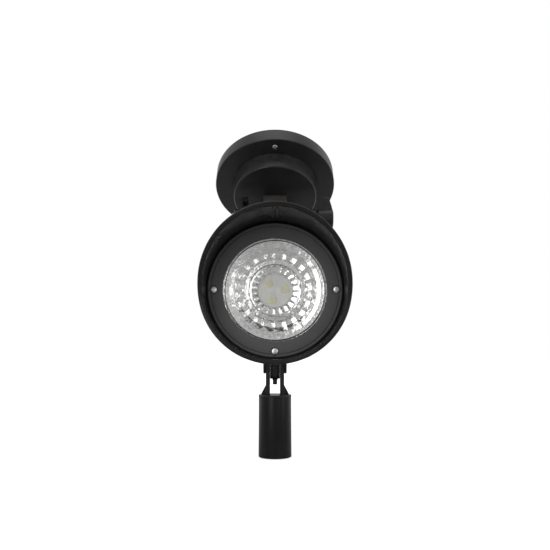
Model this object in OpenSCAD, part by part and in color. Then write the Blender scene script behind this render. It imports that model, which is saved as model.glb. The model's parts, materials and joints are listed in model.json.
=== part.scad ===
// Solar garden spotlight: a hooded lamp head on a fork and pole, with a tilting round solar panel.
// The origin is the centre of the pole tube's open lower end, +Z is up and the lamp shines along -Y.

/* [Pole and fork] */
// Outside diameter of the pole tube
pole_d = 24; // [20:0.5:30]
// Wall of the pole tube
pole_wall = 2; // [1:0.25:2.5]
// Length of the pole tube
pole_len = 42.8; // [40:0.2:120]
// Depth of the fork's plug inside the tube
plug_len = 16; // [10:1:25]
// Height of the fork's flange on top of the tube
flange_t = 1.4; // [1:0.1:3]
// Height of the tilt pivot above the flange
fork_h = 27.2; // [25:0.1:36]
// Gap between the two fork arms
fork_gap = 7.5; // [6:0.1:9]
// Thickness of a fork arm
arm_t = 2.9; // [2:0.1:3.5]
// Depth of the fork arms, front to back
arm_depth = 11; // [9:0.5:13]
// Diameter of the tilt screw
tilt_screw_d = 4; // [3:0.5:5]

/* [Tilt ears on the head] */
// Thickness of each outer ear
ear_t = 1.7; // [1.4:0.1:3]
// Depth of the ears, front to back
ear_depth = 15; // [12:0.5:18]
// How far the ears reach below the pivot
ear_drop = 12.1; // [9:0.1:14]
// Thickness of the centre tongue's rib
tongue_t = 4; // [2.5:0.1:5]
// How far the tongue reaches below the pivot
tongue_drop = 16.6; // [12:0.1:17.5]
// Depth of the tongue, front to back
tongue_depth = 8; // [7:0.5:11]
// How far the tongue's side webs stand back from its rib
web_set = 0.8; // [0.4:0.1:1.4]
// Height of the stop nub under the tongue
nub_h = 3.3; // [2:0.1:4]

/* [Lamp head] */
// Height of the lamp axis above the tilt pivot
head_rise = 45.5; // [45:0.1:55]
// Distance from the tilt pivot forward to the bezel's face
face_reach = 50; // [44:0.5:58]
// Distance from the tilt pivot back to the shell's end
back_reach = 33; // [26:0.5:42]
// Diameter of the flat end of the shell
back_d = 44; // [36:1:50]
// Rounding of the shell's rear edge
back_round = 8; // [4:0.5:12]
// Wall of the head shell
shell_wall = 2.4; // [1.6:0.1:3.2]
// Height of the cooling ribs on the shell
rib_h = 2; // [1:0.1:3]
// Thickness of the cooling ribs
rib_t = 1.6; // [1:0.1:2.5]
// Cooling ribs on each side
rib_count = 6; // [3:1:7]

/* [Hood] */
// Wall of the hood
hood_wall = 3; // [1.5:0.1:3.5]
// Reach of the hood in front of the bezel along its lower half
hood_low = 22.3; // [15:0.1:23.2]
// Reach of the hood in front of the bezel at the lamp axis
hood_mid = 23.7; // [23.4:0.1:28]
// Reach of the hood in front of the bezel at its top
hood_top = 49.6; // [40:0.2:56]
// Length of the hood's sleeve behind the bezel's face
hood_sleeve = 18; // [12:0.5:20]
// Thickness of the twin ribs under the hood's top
brow_t = 1.1; // [0.8:0.1:2]
// Height of the twin ribs
brow_h = 1.2; // [0.6:0.1:2]
// Length of the twin ribs
brow_len = 27.8; // [15:0.2:30]
// Distance of the twin ribs behind the hood's top edge
brow_inset = 3.1; // [1:0.1:6]
// Spacing of the twin ribs
brow_gap = 3; // [2.2:0.1:6]

/* [Bezel and lens] */
// Diameter of the clear opening in the bezel
aperture_d = 69.6; // [60:0.2:76]
// Width of the bezel ring, from its opening to its outer edge
bezel_w = 10; // [9.4:0.1:12]
// Thickness of the bezel ring
bezel_t = 4.5; // [4:0.1:6]
// Thickness of the bezel's lip over the lens
bezel_lip = 1.4; // [1:0.1:2]
// Width of the bead around the bezel's edge
bead_w = 1.9; // [1.2:0.1:2.2]
// Overlap of the lens under the bezel's lip
lens_lap = 2.3; // [1.6:0.1:2.6]
// Thickness of the lens flange
lens_t = 1.2; // [1:0.1:1.6]
// Thickness of the lens gasket
gasket_t = 1; // [0.6:0.1:1.2]
// Shank diameter of the bezel screws
bezel_screw_d = 2.5; // [2:0.1:3]
// Head diameter of the bezel screws
bezel_head_d = 3.7; // [3.2:0.1:4.4]

/* [Reflector and light source] */
// Thickness of the reflector
reflector_t = 0.8; // [0.6:0.1:1]
// Facets around the reflector
facets = 20; // [16:1:26]
// Depth of the reflector from its flange to its hole
reflector_depth = 5.2; // [3:0.1:8]
// Diameter of the hole in the reflector
reflector_hole = 24.2; // [22:0.1:28]
// Diameter of the circuit board of the light source
led_board_d = 32; // [28:1:40]
// Thickness of the circuit boards
board_t = 1.6; // [1:0.1:2]
// Number of light-emitting chips
led_count = 3; // [3:1:4]
// Width of each light-emitting chip
led_w = 5; // [3:0.5:6]
// Distance of the chips from the lamp axis
led_circle_r = 6.6; // [6:0.1:7.2]
// Diameter of the heat spreader
spreader_d = 42; // [38:1:50]
// Thickness of the heat spreader
spreader_t = 3.5; // [2:0.5:6]

/* [Panel hinge] */
// Distance of the panel hinge behind the tilt pivot
hinge_back = 0; // [-4:0.1:14]
// Height of the panel hinge above the lamp axis
hinge_rise = 57.5; // [55:0.1:68]
// Gap between the two cheeks of the yoke
cheek_gap = 43; // [36:0.5:48]
// Thickness of each cheek
cheek_t = 9; // [6:0.1:10]
// Radius of the cheeks around the bolt
cheek_r = 7.5; // [6.5:0.1:10]
// Thickness of the yoke's saddle on the shell
saddle_t = 2.6; // [2:0.1:4]
// Diameter of the hinge bolt
hinge_bolt_d = 5; // [4:0.5:6]
// Radius of the hinge barrel
barrel_r = 6.8; // [5.5:0.1:9]
// Width of the lug on the battery drum
lug_w = 18; // [14:0.5:22]
// Depth of the lug, front to back
lug_depth = 10.6; // [8:0.1:12]
// Distance of the lug behind the drum's centre
lug_shift = 1.5; // [0:0.1:3]

/* [Hand knob] */
// Length of the knob along the bolt
knob_len = 11.8; // [10:0.1:14]
// Radius of the knob's hub
knob_hub_r = 7.2; // [6.5:0.1:8]
// Radius of the knob over its two wings
knob_r = 16.4; // [14:0.1:19]
// Thickness of the wings
knob_wing_t = 6; // [4:0.5:8]

/* [Solar panel] */
// Tilt of the panel from the horizontal
panel_angle = 34.5; // [0:0.5:45]
// Distance from the hinge up to the underside of the panel tray
panel_drop = 35.6; // [34:0.1:44]
// Diameter of the panel tray
tray_d = 93.2; // [90:0.2:110]
// Height of the panel tray with its rim
tray_h = 12.7; // [11:0.1:18]
// Wall of the panel tray
tray_wall = 2.6; // [2:0.1:3.5]
// Floor of the panel tray
tray_floor = 2.4; // [1.6:0.1:3]
// Draft of the tray's side wall, measured on the radius
tray_draft = 0.2; // [0:0.1:1]
// Thickness of the panel's rim over the cover
rim_lip = 1; // [0.8:0.1:1.6]
// Width of the rim over the cover
rim_w = 4; // [3:0.1:5]
// Thickness of the clear cover
cover_t = 2; // [1.2:0.1:2.5]
// Number of cell strips
cell_rows = 6; // [4:1:8]
// Distance of the tray screws from the panel's centre
tray_screw_r = 39.4; // [37:0.1:39.8]

/* [Battery drum] */
// Diameter of the battery drum where it meets the tray
drum_d = 67; // [66:0.5:72]
// Draft of the drum's side, measured on the radius
drum_draft = 1.5; // [0:0.1:1.8]
// Height of the battery drum
drum_h = 13.1; // [12.6:0.1:18]
// Wall of the battery drum
drum_wall = 2.2; // [1.6:0.1:2.8]
// Thickness of the drum's face
drum_face = 2.6; // [2:0.1:3.2]
// Rounding of the drum's edge
drum_round = 1.2; // [0.6:0.1:2]
// Diameter of the battery cell
cell_d = 14; // [12:0.5:14.5]
// Length of the battery cell
cell_len = 43; // [38:0.5:44]
// Distance of the switch slot to the side of the drum's centre
slot_x = 23; // [20:0.1:23.3]
// Distance of the slot behind the drum's centre
slot_y = 3.4; // [2:0.1:9.4]
// Width of the switch slot
slot_w = 4.6; // [3.5:0.1:5]
// Length of the switch slot
slot_len = 9.6; // [7:0.1:10]
// Travel of the switch slider
slider_travel = 4; // [2.5:0.1:5]

/* [Fits] */
// Radial clearance of a shaft that turns in its bore
run_fit = 0.05; // [0.03:0.01:0.1]
// Clearance between pieces that are fixed together
seat_fit = 0.1; // [0.05:0.05:0.2]
// Side clearance between leaves of a hinge
leaf_gap = 0.2; // [0.1:0.05:0.4]

/* [Hidden] */
$fn = 96;
sink = 0.5;

// Colours
black = [0.09, 0.09, 0.09];
soft_black = [0.13, 0.13, 0.13];
steel = [0.66, 0.67, 0.68];
silver = [0.80, 0.79, 0.77];
clear = [0.85, 0.88, 0.9, 0.35];
board_green = [0.10, 0.32, 0.18];

// Heights on the pole
fork_z = pole_len + flange_t;
pivot_z = fork_z + fork_h;
head_z = pivot_z + head_rise;
pole_r = pole_d / 2;
socket_r = pole_r - pole_wall;
plug_gap = 0.3;
socket_len = pole_len - plug_len - plug_gap;
plug_bore_r = socket_r + 0.2;
plug_r = plug_bore_r - seat_fit;
plug_chamfer = 1.5;

// Stack of the tilt hinge, from the middle outwards
arm_in = fork_gap / 2;
arm_out = arm_in + arm_t;
ear_in = arm_out + leaf_gap;
ear_out = ear_in + ear_t;
arm_end_r = 7;
gusset_h = 7;
gusset_t = 4;
gusset_x = pole_r - 2;
tilt_r = tilt_screw_d / 2;
tilt_head_r = 1.8 * tilt_r;
tilt_head_h = 0.65 * tilt_screw_d;
tilt_nut_h = 0.8 * tilt_screw_d;

// Lamp head, measured forward from the tilt pivot along the lamp axis
bezel_play = 1;
aperture_r = aperture_d / 2;
bezel_r = aperture_r + bezel_w;
hood_r_in = bezel_r + bezel_play;
hood_r = hood_r_in + hood_wall;
collar_r = hood_r_in - 0.3;
bezel_back = face_reach - bezel_t;
lens_r = aperture_r + lens_lap;
lens_seat_r = lens_r + 3 * seat_fit;
bezel_screw_r = (lens_seat_r + bezel_r) / 2;
lip_r = bezel_r - 0.9;
lip_t = 1.4;
neck_r = lip_r - 2 * seat_fit;
collar_back = face_reach - hood_sleeve;
collar_front = bezel_back - lip_t - seat_fit;
flange_back = bezel_back - 4;
shell_mouth_r = aperture_r + seat_fit;
bezel_boss_r = 3.1;
bezel_screw_len = 12;
bezel_bead_r = bezel_r - bead_w;

// Stack of optics behind the bezel
reflector_front = bezel_back + reflector_t;
gasket_front = reflector_front + gasket_t;
lens_front = gasket_front + lens_t;
lens_face = face_reach - 0.6;

// Light source
reflector_low = reflector_front - reflector_depth;
led_board_front = reflector_low - 1.8;
led_board_back = led_board_front - board_t;
spreader_back = led_board_back - spreader_t;
led_t = 0.9;
optic_r = reflector_hole / 2 - 0.3;
optic_foot = 1;
optic_front = reflector_low + 2.4;
post_x = 16.5;
post_r = 3.2;
m3_r = 1.5;
m3_head_r = 2.7;
m3_head_h = 1.8;
spreader_screw_len = 8;
yoke_screw_len = 9;

// Panel hinge
hinge_z = head_z + hinge_rise;
cheek_in = cheek_gap / 2;
cheek_out = cheek_in + cheek_t;
hinge_r = hinge_bolt_d / 2;
barrel_len = cheek_gap - 2 * 0.3;
washer_t = 1;
washer_r = 6.2;
knob_in = cheek_out + washer_t + leaf_gap;
knob_out = knob_in + knob_len;
bolt_end = knob_out - 3.2;
bolt_head_r = 4.4;
bolt_head_h = 3;
insert_len = 6;
insert_r = hinge_r + 1.6;

// Panel, measured from the hinge along the panel's own axis towards the sun
tray_r = tray_d / 2;
tray_z = panel_drop;
sun_z = tray_z + tray_h;
rim_z = sun_z - rim_lip - 0.6;
cover_top = sun_z - rim_lip;
cover_z = cover_top - cover_t;
tray_in_r = tray_r - tray_wall;
cover_r = tray_in_r - 2 * seat_fit;
gasket_seal_t = 1;
cells_t = 0.4;
plate_t = 1.6;
plate_top = cover_z - gasket_seal_t;
plate_z = plate_top - plate_t;
ledge_r = tray_in_r - 3;
active_r = tray_r - rim_w - 2.5;
screw_post_r = 2.9;
tray_screw_len = 5;

// Drum
drum_r = drum_d / 2;
drum_z = tray_z - drum_h;
drum_floor = drum_z + drum_face;
drum_in_r = drum_r - drum_draft - drum_wall;
drum_boss_r = 2.6;
drum_tab_r = 4.4;
drum_boss_at = drum_in_r - drum_boss_r + 0.4;
drum_boss_angles = [110, 230, 350];
pilot_d = 2.2;

// Contents of the drum
holder_x = 6;
holder_wall = 1.2;
holder_clear = 0.2;
holder_len = cell_len + 4;
holder_w = cell_d + 2 * (holder_clear + holder_wall);
holder_z = drum_floor;
cell_z = holder_z + holder_wall + holder_clear + cell_d / 2;
contact_t = 0.4;
contact_w = 8;
contact_h = 9;
cell_cap_d = 5;
switch_h = 5.6;
switch_w = 4.8;
switch_len = slot_len + 2.4;
slider_base_t = 1;
switch_z = drum_floor + slider_base_t + 0.2;
board_z = switch_z + switch_h;
board_x0 = -24;
board_x1 = -5.5;
board_y0 = -11.5;
board_y1 = 15.5;
board_post_r = 2;
post_inset = 3;
slider_len = slot_len - slider_travel - 0.6;

// Frame of the lamp head: local z runs forward along the lamp axis and local y is up
module lamp_axis() {
    translate([0, 0, head_z]) rotate([90, 0, 0]) children();
}

// Frame of the panel: its origin is the hinge and local z points at the sun
module panel_axis() {
    translate([0, hinge_back, hinge_z]) rotate([-panel_angle, 0, 0]) children();
}

// A cylinder that lies along X
module along_x(r, x0, x1) {
    translate([x0, 0, 0]) rotate([0, 90, 0]) cylinder(r = r, h = x1 - x0);
}

// A ring or disc by its two radii and two heights
module ring(r_out, r_in, z0, z1) {
    difference() {
        translate([0, 0, z0]) cylinder(r = r_out, h = z1 - z0);
        translate([0, 0, z0 - 1]) cylinder(r = r_in, h = z1 - z0 + 2);
    }
}

// A cross-head screw along -z, its head's seat at z = 0
module screw(r, len, head_r, head_h) {
    difference() {
        union() {
            translate([0, 0, -len]) cylinder(r = r, h = len);
            cylinder(r1 = head_r, r2 = 0.8 * head_r, h = head_h);
        }
        for (a = [0, 90])
            rotate([0, 0, a])
                translate([-0.6 * head_r, -0.14 * head_r, 0.45 * head_h])
                    cube([1.2 * head_r, 0.28 * head_r, head_h]);
    }
}

function arc(r, a0, a1, n) = [for (i = [0:n]) let (a = a0 + (a1 - a0) * i / n) [r * cos(a), r * sin(a)]];
function shifted(pts, d) = [for (p = pts) p + d];

// A leaf along X that is round about (0, 0) and widens to a root at height h
leaf_bite = 0.15;
function tangent_angle(r, w, h) = atan2(h, w) - acos(r / norm([w, h]));
module leaf(x0, x1, r, w, h) {
    foot = r - leaf_bite;
    a = tangent_angle(foot, w, h);
    translate([x0, 0, 0]) rotate([90, 0, 90])
        linear_extrude(x1 - x0)
            polygon([[foot * cos(a), foot * sin(a)], [w, h], [-w, h], [-foot * cos(a), foot * sin(a)]]);
    along_x(r, x0, x1);
}

// Pole and fork

module pole_tube() {
    color(black)
        difference() {
            cylinder(r = pole_r, h = pole_len);
            translate([0, 0, -1]) cylinder(r = socket_r, h = pole_len + 2);
            translate([0, 0, socket_len]) cylinder(r = plug_bore_r, h = pole_len);
        }
}

module fork_plug() {
    color(soft_black)
        difference() {
            union() {
                rotate_extrude()
                    polygon([
                        [0, pole_len - plug_len], [plug_r - plug_chamfer, pole_len - plug_len],
                        [plug_r, pole_len - plug_len + plug_chamfer], [plug_r, pole_len],
                        [pole_r, pole_len], [pole_r, fork_z - 0.5], [pole_r - 0.8, fork_z], [0, fork_z]
                    ]);
                for (s = [-1, 1]) {
                    translate([0, 0, pivot_z]) rotate([180, 0, 0])
                        leaf(s > 0 ? arm_in : -arm_out, s > 0 ? arm_out : -arm_in,
                             arm_end_r, arm_depth / 2, fork_h + sink);
                    translate([0, gusset_t / 2, fork_z]) rotate([90, 0, 0])
                        linear_extrude(gusset_t)
                            polygon([[s * (arm_out - 0.5), 0], [s * gusset_x, 0],
                                     [s * gusset_x, 0.8], [s * arm_out, gusset_h],
                                     [s * (arm_out - 0.5), gusset_h]]);
                }
            }
            translate([0, 0, pivot_z]) along_x(tilt_r + run_fit, -arm_out - 1, arm_out + 1);
        }
}

// Lamp head

function bell_r(z) =
    let (u = (z - bell_z0) / (collar_back - bell_z0))
    back_d / 2 + (collar_r - back_d / 2) * u * (0.86 + 0.14 * u);
bell_z0 = back_round - back_reach;
bell_steps = 7;
bell_z = [for (i = [0:bell_steps]) bell_z0 + (collar_back - bell_z0) * i / bell_steps];
bell_edge = concat(
    shifted([for (p = arc(back_round, -90, 0, 5)) p], [back_d / 2 - back_round, bell_z0]),
    [for (i = [1:bell_steps]) [bell_r(bell_z[i]), bell_z[i]]]
);

// The bell's outline, drawn in from its outer face by d
module bell_outline(d, z_top) {
    polygon(concat(
        [[0, -back_reach + d]],
        [for (p = bell_edge) [p[0] - d, p[1] + (p[1] < bell_z0 ? d * (bell_z0 - p[1]) / back_round : 0)]],
        [[collar_r - d, z_top], [0, z_top]]
    ));
}

module bell_solid(d, z_top) {
    rotate_extrude() bell_outline(d, z_top);
}

// One cooling rib: the bell's edge raised by rib_h, tapering out at both ends
module cooling_rib() {
    rise = [for (i = [0:bell_steps]) let (k = min(i, bell_steps - i)) k == 0 ? -sink : rib_h * min(1, k / 1.5)];
    rotate([90, 0, 0])
        translate([0, 0, -rib_t / 2])
            linear_extrude(rib_t)
                polygon(concat(
                    [for (i = [0:bell_steps]) [bell_r(bell_z[i]) + rise[i], bell_z[i]]],
                    [for (i = [bell_steps:-1:0]) [bell_r(bell_z[i]) - shell_wall / 2, bell_z[i]]]
                ));
}

rib_pitch = 13;
rib_angles = [for (s = [0, 180], i = [0:rib_count - 1]) s + rib_pitch * (i - (rib_count - 1) / 2)];
bezel_screw_angles = [180, 270, 0];

leaf_sink = 6;
leaf_flare = 3;

// The ears and the tongue that hang from the shell, before the shell is hollowed
module tilt_leaves() {
    root = head_rise - bell_r(0) + leaf_sink;
    for (x = [[-ear_out, -ear_in], [ear_in, ear_out]])
        translate([0, 0, pivot_z - ear_drop + ear_depth / 2])
            leaf(x[0], x[1], ear_depth / 2, ear_depth / 2 + leaf_flare, root + ear_drop - ear_depth / 2);
    for (web = [[tongue_t / 2, 0], [arm_in - leaf_gap, web_set]])
        translate([0, 0, pivot_z - tongue_drop + tongue_depth / 2])
            leaf(-web[0], web[0], tongue_depth / 2 - web[1], tongue_depth / 2 + leaf_flare - web[1],
                 root + tongue_drop - tongue_depth / 2 - web[1]);
    translate([-tongue_t / 4, -tongue_depth / 4, pivot_z - tongue_drop - nub_h])
        cube([tongue_t / 2, tongue_depth / 2, nub_h + 1.5]);
}

module head_shell() {
    color(soft_black)
        difference() {
            union() {
                difference() {
                    union() {
                        lamp_axis() {
                            bell_solid(0, collar_front);
                            translate([0, 0, collar_front - sink])
                                cylinder(r = neck_r, h = bezel_back - collar_front + sink);
                            for (a = rib_angles) rotate([0, 0, a]) cooling_rib();
                        }
                        tilt_leaves();
                    }
                    lamp_axis() {
                        bell_solid(shell_wall, flange_back);
                        translate([0, 0, flange_back - 1])
                            cylinder(r = shell_mouth_r, h = bezel_back - flange_back + 2);
                    }
                }
                lamp_axis() {
                    for (a = bezel_screw_angles) rotate([0, 0, a])
                        translate([bezel_screw_r, 0, collar_back - 2])
                            cylinder(r = bezel_boss_r, h = flange_back - collar_back + 2 + sink);
                    for (s = [-1, 1]) translate([s * post_x, 0, -back_reach + shell_wall / 2])
                        cylinder(r = post_r, h = spreader_back + back_reach - shell_wall / 2);
                }
            }
            lamp_axis() {
                for (a = bezel_screw_angles) rotate([0, 0, a])
                    translate([bezel_screw_r, 0, bezel_back - bezel_screw_len])
                        cylinder(r = bezel_screw_d / 2 + seat_fit / 2, h = bezel_screw_len + 1, $fn = 32);
                for (s = [-1, 1]) translate([s * post_x, 0, spreader_back - spreader_screw_len])
                    cylinder(r = m3_r + seat_fit / 2, h = spreader_screw_len + 1, $fn = 32);
                for (z = yoke_screw_z) translate([0, 0, z]) rotate([-90, 0, 0])
                    cylinder(r = m3_r + seat_fit / 2, h = collar_r, $fn = 32);
            }
            translate([0, 0, pivot_z]) along_x(tilt_r + seat_fit / 2, -ear_out - 1, ear_out + 1);
        }
}

module hood() {
    // The slanted front edge as seen from the side: a straight low edge, an arc and a sloping line
    slope = (hood_top - hood_mid) / hood_r;
    bend = atan(slope);
    bend_r = 40;
    knee = (hood_low - hood_mid) / slope - bend_r * tan(bend / 2);
    top = hood_r + 1;
    edge = concat(
        [[hood_low, -top]],
        [for (i = [0:6]) let (t = bend * i / 6) [hood_low + bend_r * (1 - cos(t)), knee + bend_r * sin(t)]],
        [[hood_mid + slope * top, top]]
    );
    color(black)
        lamp_axis() {
            intersection() {
                union() {
                    ring(hood_r, hood_r_in, collar_back, face_reach + hood_top + 2);
                    ring(hood_r_in + 1, lip_r, collar_front + seat_fit / 2, bezel_back - seat_fit / 2);
                    for (s = [-1, 1])
                        translate([s * brow_gap / 2 - brow_t / 2, 0, face_reach + hood_top - brow_inset - brow_len])
                            intersection() {
                                translate([0, hood_r_in - brow_h, 0])
                                    cube([brow_t, brow_h + 1, brow_len]);
                                cylinder(r = hood_r_in + 1, h = brow_len);
                            }
                }
                translate([-top, 0, 0]) rotate([90, 0, 90])
                    linear_extrude(2 * top)
                        polygon(concat(
                            [[-top, 0]],
                            [for (p = edge) [p[1], face_reach + p[0]]],
                            [[top, 0]]
                        ));
            }
        }
}

module bezel_ring() {
    color(soft_black)
        lamp_axis()
            difference() {
                rotate_extrude()
                    polygon([
                        [lens_seat_r, bezel_back], [bezel_r, bezel_back], [bezel_r, face_reach - 0.5],
                        [bezel_r - 0.5, face_reach], [bezel_bead_r + 0.5, face_reach],
                        [bezel_bead_r + 0.2, face_reach - 0.6], [bezel_bead_r - 0.2, face_reach - 0.6],
                        [bezel_bead_r - 0.5, face_reach], [aperture_r + 0.8, face_reach],
                        [aperture_r, face_reach - 0.5], [aperture_r, face_reach - bezel_lip],
                        [lens_seat_r, face_reach - bezel_lip]
                    ]);
                for (a = bezel_screw_angles) rotate([0, 0, a]) translate([bezel_screw_r, 0, 0]) {
                    translate([0, 0, bezel_back - 1])
                        cylinder(r = bezel_screw_d / 2 + seat_fit, h = bezel_t + 2, $fn = 32);
                    translate([0, 0, face_reach - 0.7])
                        cylinder(r = bezel_head_d / 2 + seat_fit, h = 2, $fn = 32);
                }
            }
}

module bezel_screws() {
    color(steel)
        lamp_axis()
            for (a = bezel_screw_angles) rotate([0, 0, a])
                translate([bezel_screw_r, 0, face_reach - 0.7])
                    screw(bezel_screw_d / 2, bezel_screw_len + bezel_t - 2, bezel_head_d / 2, 1.1, $fn = 32);
}

module lens() {
    color(clear)
        lamp_axis()
            rotate_extrude()
                polygon([
                    [0, gasket_front], [lens_r, gasket_front], [lens_r, lens_front],
                    [aperture_r - 0.3, lens_front], [aperture_r - 0.3, lens_face - 0.4],
                    [aperture_r - 0.7, lens_face], [0, lens_face]
                ]);
}

module lens_gasket() {
    color(soft_black)
        lamp_axis()
            ring(lens_r, aperture_r + 0.4, reflector_front, gasket_front);
}

// The reflector: stepped rings of scooped facets, closed by a plain back
reflector_edge = aperture_r + 0.1;
reflector_inner = reflector_hole / 2;
reflector_span = reflector_edge - reflector_inner;
// Each ring: share of the way in from the edge, share of the depth, and scoop of its facets
reflector_front_rings = [
    [0.00, 0.00, 0], [0.05, 0.13, 0], [0.08, 0.06, 0], [0.30, 0.22, 0.10],
    [0.31, 0.30, 0.10], [0.44, 0.52, 0.55], [0.56, 0.62, 0.30], [0.59, 0.80, 0],
    [0.63, 0.62, 0], [0.75, 0.56, 0.12], [0.79, 0.86, 0], [0.83, 0.80, 0],
    [0.91, 0.86, 0.35], [1.00, 1.00, 0]
];
facet_steps = 4;
reflector_n = facets * facet_steps;
function reflector_ring(share, level, scoop) = [
    for (j = [0:reflector_n - 1])
        let (a = 360 * j / reflector_n, f = (j % facet_steps) / facet_steps, r = reflector_edge - share * reflector_span)
        [r * cos(a), r * sin(a), reflector_front - level * reflector_depth - scoop * sin(180 * f)]
];
function plain_ring(r, z) = [
    for (j = [0:reflector_n - 1]) let (a = 360 * j / reflector_n) [r * cos(a), r * sin(a), z]
];

module reflector() {
    flange_r = lens_r - 0.2;
    back_low = reflector_low - reflector_t;
    rings = concat(
        [plain_ring(flange_r, reflector_front)],
        [for (g = reflector_front_rings) reflector_ring(g[0], g[1], g[2])],
        [plain_ring(reflector_inner, back_low), plain_ring(reflector_inner + 3, back_low - 0.2),
         plain_ring(reflector_edge - 0.7 * reflector_span, reflector_low - 0.5 * reflector_t),
         plain_ring(reflector_edge - 0.5, reflector_front - 2.2),
         plain_ring(reflector_edge - 0.3, bezel_back), plain_ring(flange_r, bezel_back)]
    );
    m = len(rings);
    n = reflector_n;
    color(silver)
        lamp_axis()
            polyhedron(
                points = [for (g = rings) for (p = g) p],
                faces = [
                    for (i = [0:m - 1], j = [0:n - 1])
                        let (i2 = (i + 1) % m, j2 = (j + 1) % n)
                        each [[i * n + j, i * n + j2, i2 * n + j2], [i * n + j, i2 * n + j2, i2 * n + j]]
                ]
            );
}

module led_optic() {
    color([0.9, 0.92, 0.9, 0.5])
        lamp_axis()
            rotate_extrude()
                polygon(concat(
                    [[optic_r - optic_foot, led_board_front], [optic_r, led_board_front],
                     [optic_r, reflector_low + 0.6], [optic_r - 1.2, optic_front - 0.8],
                     [optic_r - 2.2, optic_front - 0.8]],
                    [for (i = [0:5]) [(optic_r - 2.2) * (1 - i / 5), optic_front - 0.8 + 0.8 * sin(18 * i)]],
                    [[0, led_board_front + led_t + 0.5], [optic_r - optic_foot, led_board_front + led_t + 0.5]]
                ));
}

module led_board() {
    color([0.86, 0.87, 0.85])
        lamp_axis()
            translate([0, 0, led_board_back]) cylinder(d = led_board_d, h = board_t);
}

module led_chips() {
    for (i = [0:led_count - 1])
        color([0.93, 0.86, 0.42])
            lamp_axis()
                rotate([0, 0, 12 + 360 * i / led_count])
                    translate([led_circle_r, 0, led_board_front + led_t / 2])
                        cube([led_w, led_w, led_t], center = true);
}

fin_pitch = 3.4;
fin_t = 1.2;
fin_len = 24;
fin_h = 8;

module heat_spreader() {
    color([0.72, 0.73, 0.74])
        lamp_axis()
            difference() {
                union() {
                    translate([0, 0, spreader_back]) cylinder(d = spreader_d, h = spreader_t);
                    for (i = [-3:3]) translate([fin_pitch * i - fin_t / 2, -fin_len / 2, spreader_back - fin_h])
                        cube([fin_t, fin_len, fin_h + sink]);
                }
                for (s = [-1, 1]) translate([s * post_x, 0, spreader_back]) {
                    translate([0, 0, -1]) cylinder(r = m3_r + seat_fit, h = spreader_t + 2, $fn = 32);
                    translate([0, 0, -fin_h - 1]) cylinder(r = post_r + 3 * seat_fit, h = fin_h + 1, $fn = 32);
                    translate([0, 0, spreader_t - m3_head_h])
                        cylinder(r = m3_head_r + seat_fit, h = m3_head_h + 1, $fn = 32);
                }
            }
}

module spreader_screws() {
    color(steel)
        lamp_axis()
            for (s = [-1, 1]) translate([s * post_x, 0, led_board_back - m3_head_h])
                screw(m3_r, spreader_screw_len, m3_head_r, m3_head_h - 0.1, $fn = 32);
}

module tilt_screw() {
    color(steel)
        translate([0, 0, pivot_z]) {
            difference() {
                union() {
                    along_x(tilt_r, -ear_out, ear_out + tilt_nut_h + 0.6);
                    along_x(tilt_head_r, -ear_out - tilt_head_h, -ear_out);
                }
                for (a = [0, 90]) rotate([a, 0, 0])
                    translate([-ear_out - tilt_head_h - 1, -0.6 * tilt_head_r, -0.4])
                        cube([2, 1.2 * tilt_head_r, 0.8]);
            }
        }
}

module tilt_nut() {
    color(steel)
        translate([0, 0, pivot_z])
            difference() {
                rotate([30, 0, 0]) translate([ear_out, 0, 0]) rotate([0, 90, 0])
                    cylinder(r = tilt_head_r, h = tilt_nut_h, $fn = 6);
                along_x(tilt_r + seat_fit / 2, ear_out - 1, ear_out + tilt_nut_h + 1);
            }
}

// Yoke and panel hinge

saddle_rear = 11;
saddle_ahead = 12;
saddle_screw_inset = 4;
cheek_foot = 20;
saddle_z0 = -hinge_back - saddle_rear;
saddle_z1 = -hinge_back + saddle_ahead;
yoke_screw_z = [saddle_z0 + saddle_screw_inset, saddle_z1 - saddle_screw_inset];

module panel_yoke() {
    cheek_root = hinge_rise - cheek_foot;
    color(soft_black)
        difference() {
            union() {
                lamp_axis()
                    intersection() {
                        bell_solid(-saddle_t, collar_back);
                        translate([-cheek_out, 5, saddle_z0])
                            cube([2 * cheek_out, collar_r, saddle_z1 - saddle_z0]);
                    }
                translate([0, hinge_back, hinge_z]) rotate([180, 0, 0])
                    for (x = [[cheek_in, cheek_out], [-cheek_out, -cheek_in]])
                        leaf(x[0], x[1], cheek_r, cheek_r + 2.5, cheek_root);
            }
            lamp_axis() {
                bell_solid(0, collar_front);
                for (a = rib_angles) rotate([0, 0, a]) cooling_rib();
                for (z = yoke_screw_z) translate([0, 0, z]) rotate([-90, 0, 0]) {
                    cylinder(r = m3_r + seat_fit, h = collar_r + 10, $fn = 32);
                    translate([0, 0, bell_r(z) + saddle_t - 1]) cylinder(r = m3_head_r + seat_fit, h = 10, $fn = 32);
                }
            }
            translate([0, hinge_back, hinge_z]) {
                along_x(hinge_r + run_fit, -cheek_out - 1, cheek_out + 1);
                along_x(bolt_head_r + 0.4, -cheek_out - 1, -cheek_out + 1.2);
            }
        }
}

module yoke_screws() {
    color(steel)
        lamp_axis()
            for (z = yoke_screw_z) translate([0, bell_r(z) + saddle_t - 1, z]) rotate([-90, 0, 0])
                screw(m3_r, yoke_screw_len, m3_head_r, m3_head_h, $fn = 32);
}

module hinge_bolt() {
    color(steel)
        translate([0, hinge_back, hinge_z]) {
            along_x(hinge_r, -cheek_out + 1.2, bolt_end);
            translate([-cheek_out + 1.2 - bolt_head_h, 0, 0]) rotate([0, 90, 0])
                cylinder(r = bolt_head_r, h = bolt_head_h, $fn = 6);
        }
}

module knob_washer() {
    color(steel)
        translate([0, hinge_back, hinge_z])
            difference() {
                along_x(washer_r, cheek_out, cheek_out + washer_t);
                along_x(hinge_r + seat_fit, cheek_out - 1, cheek_out + washer_t + 1);
            }
}

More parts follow.
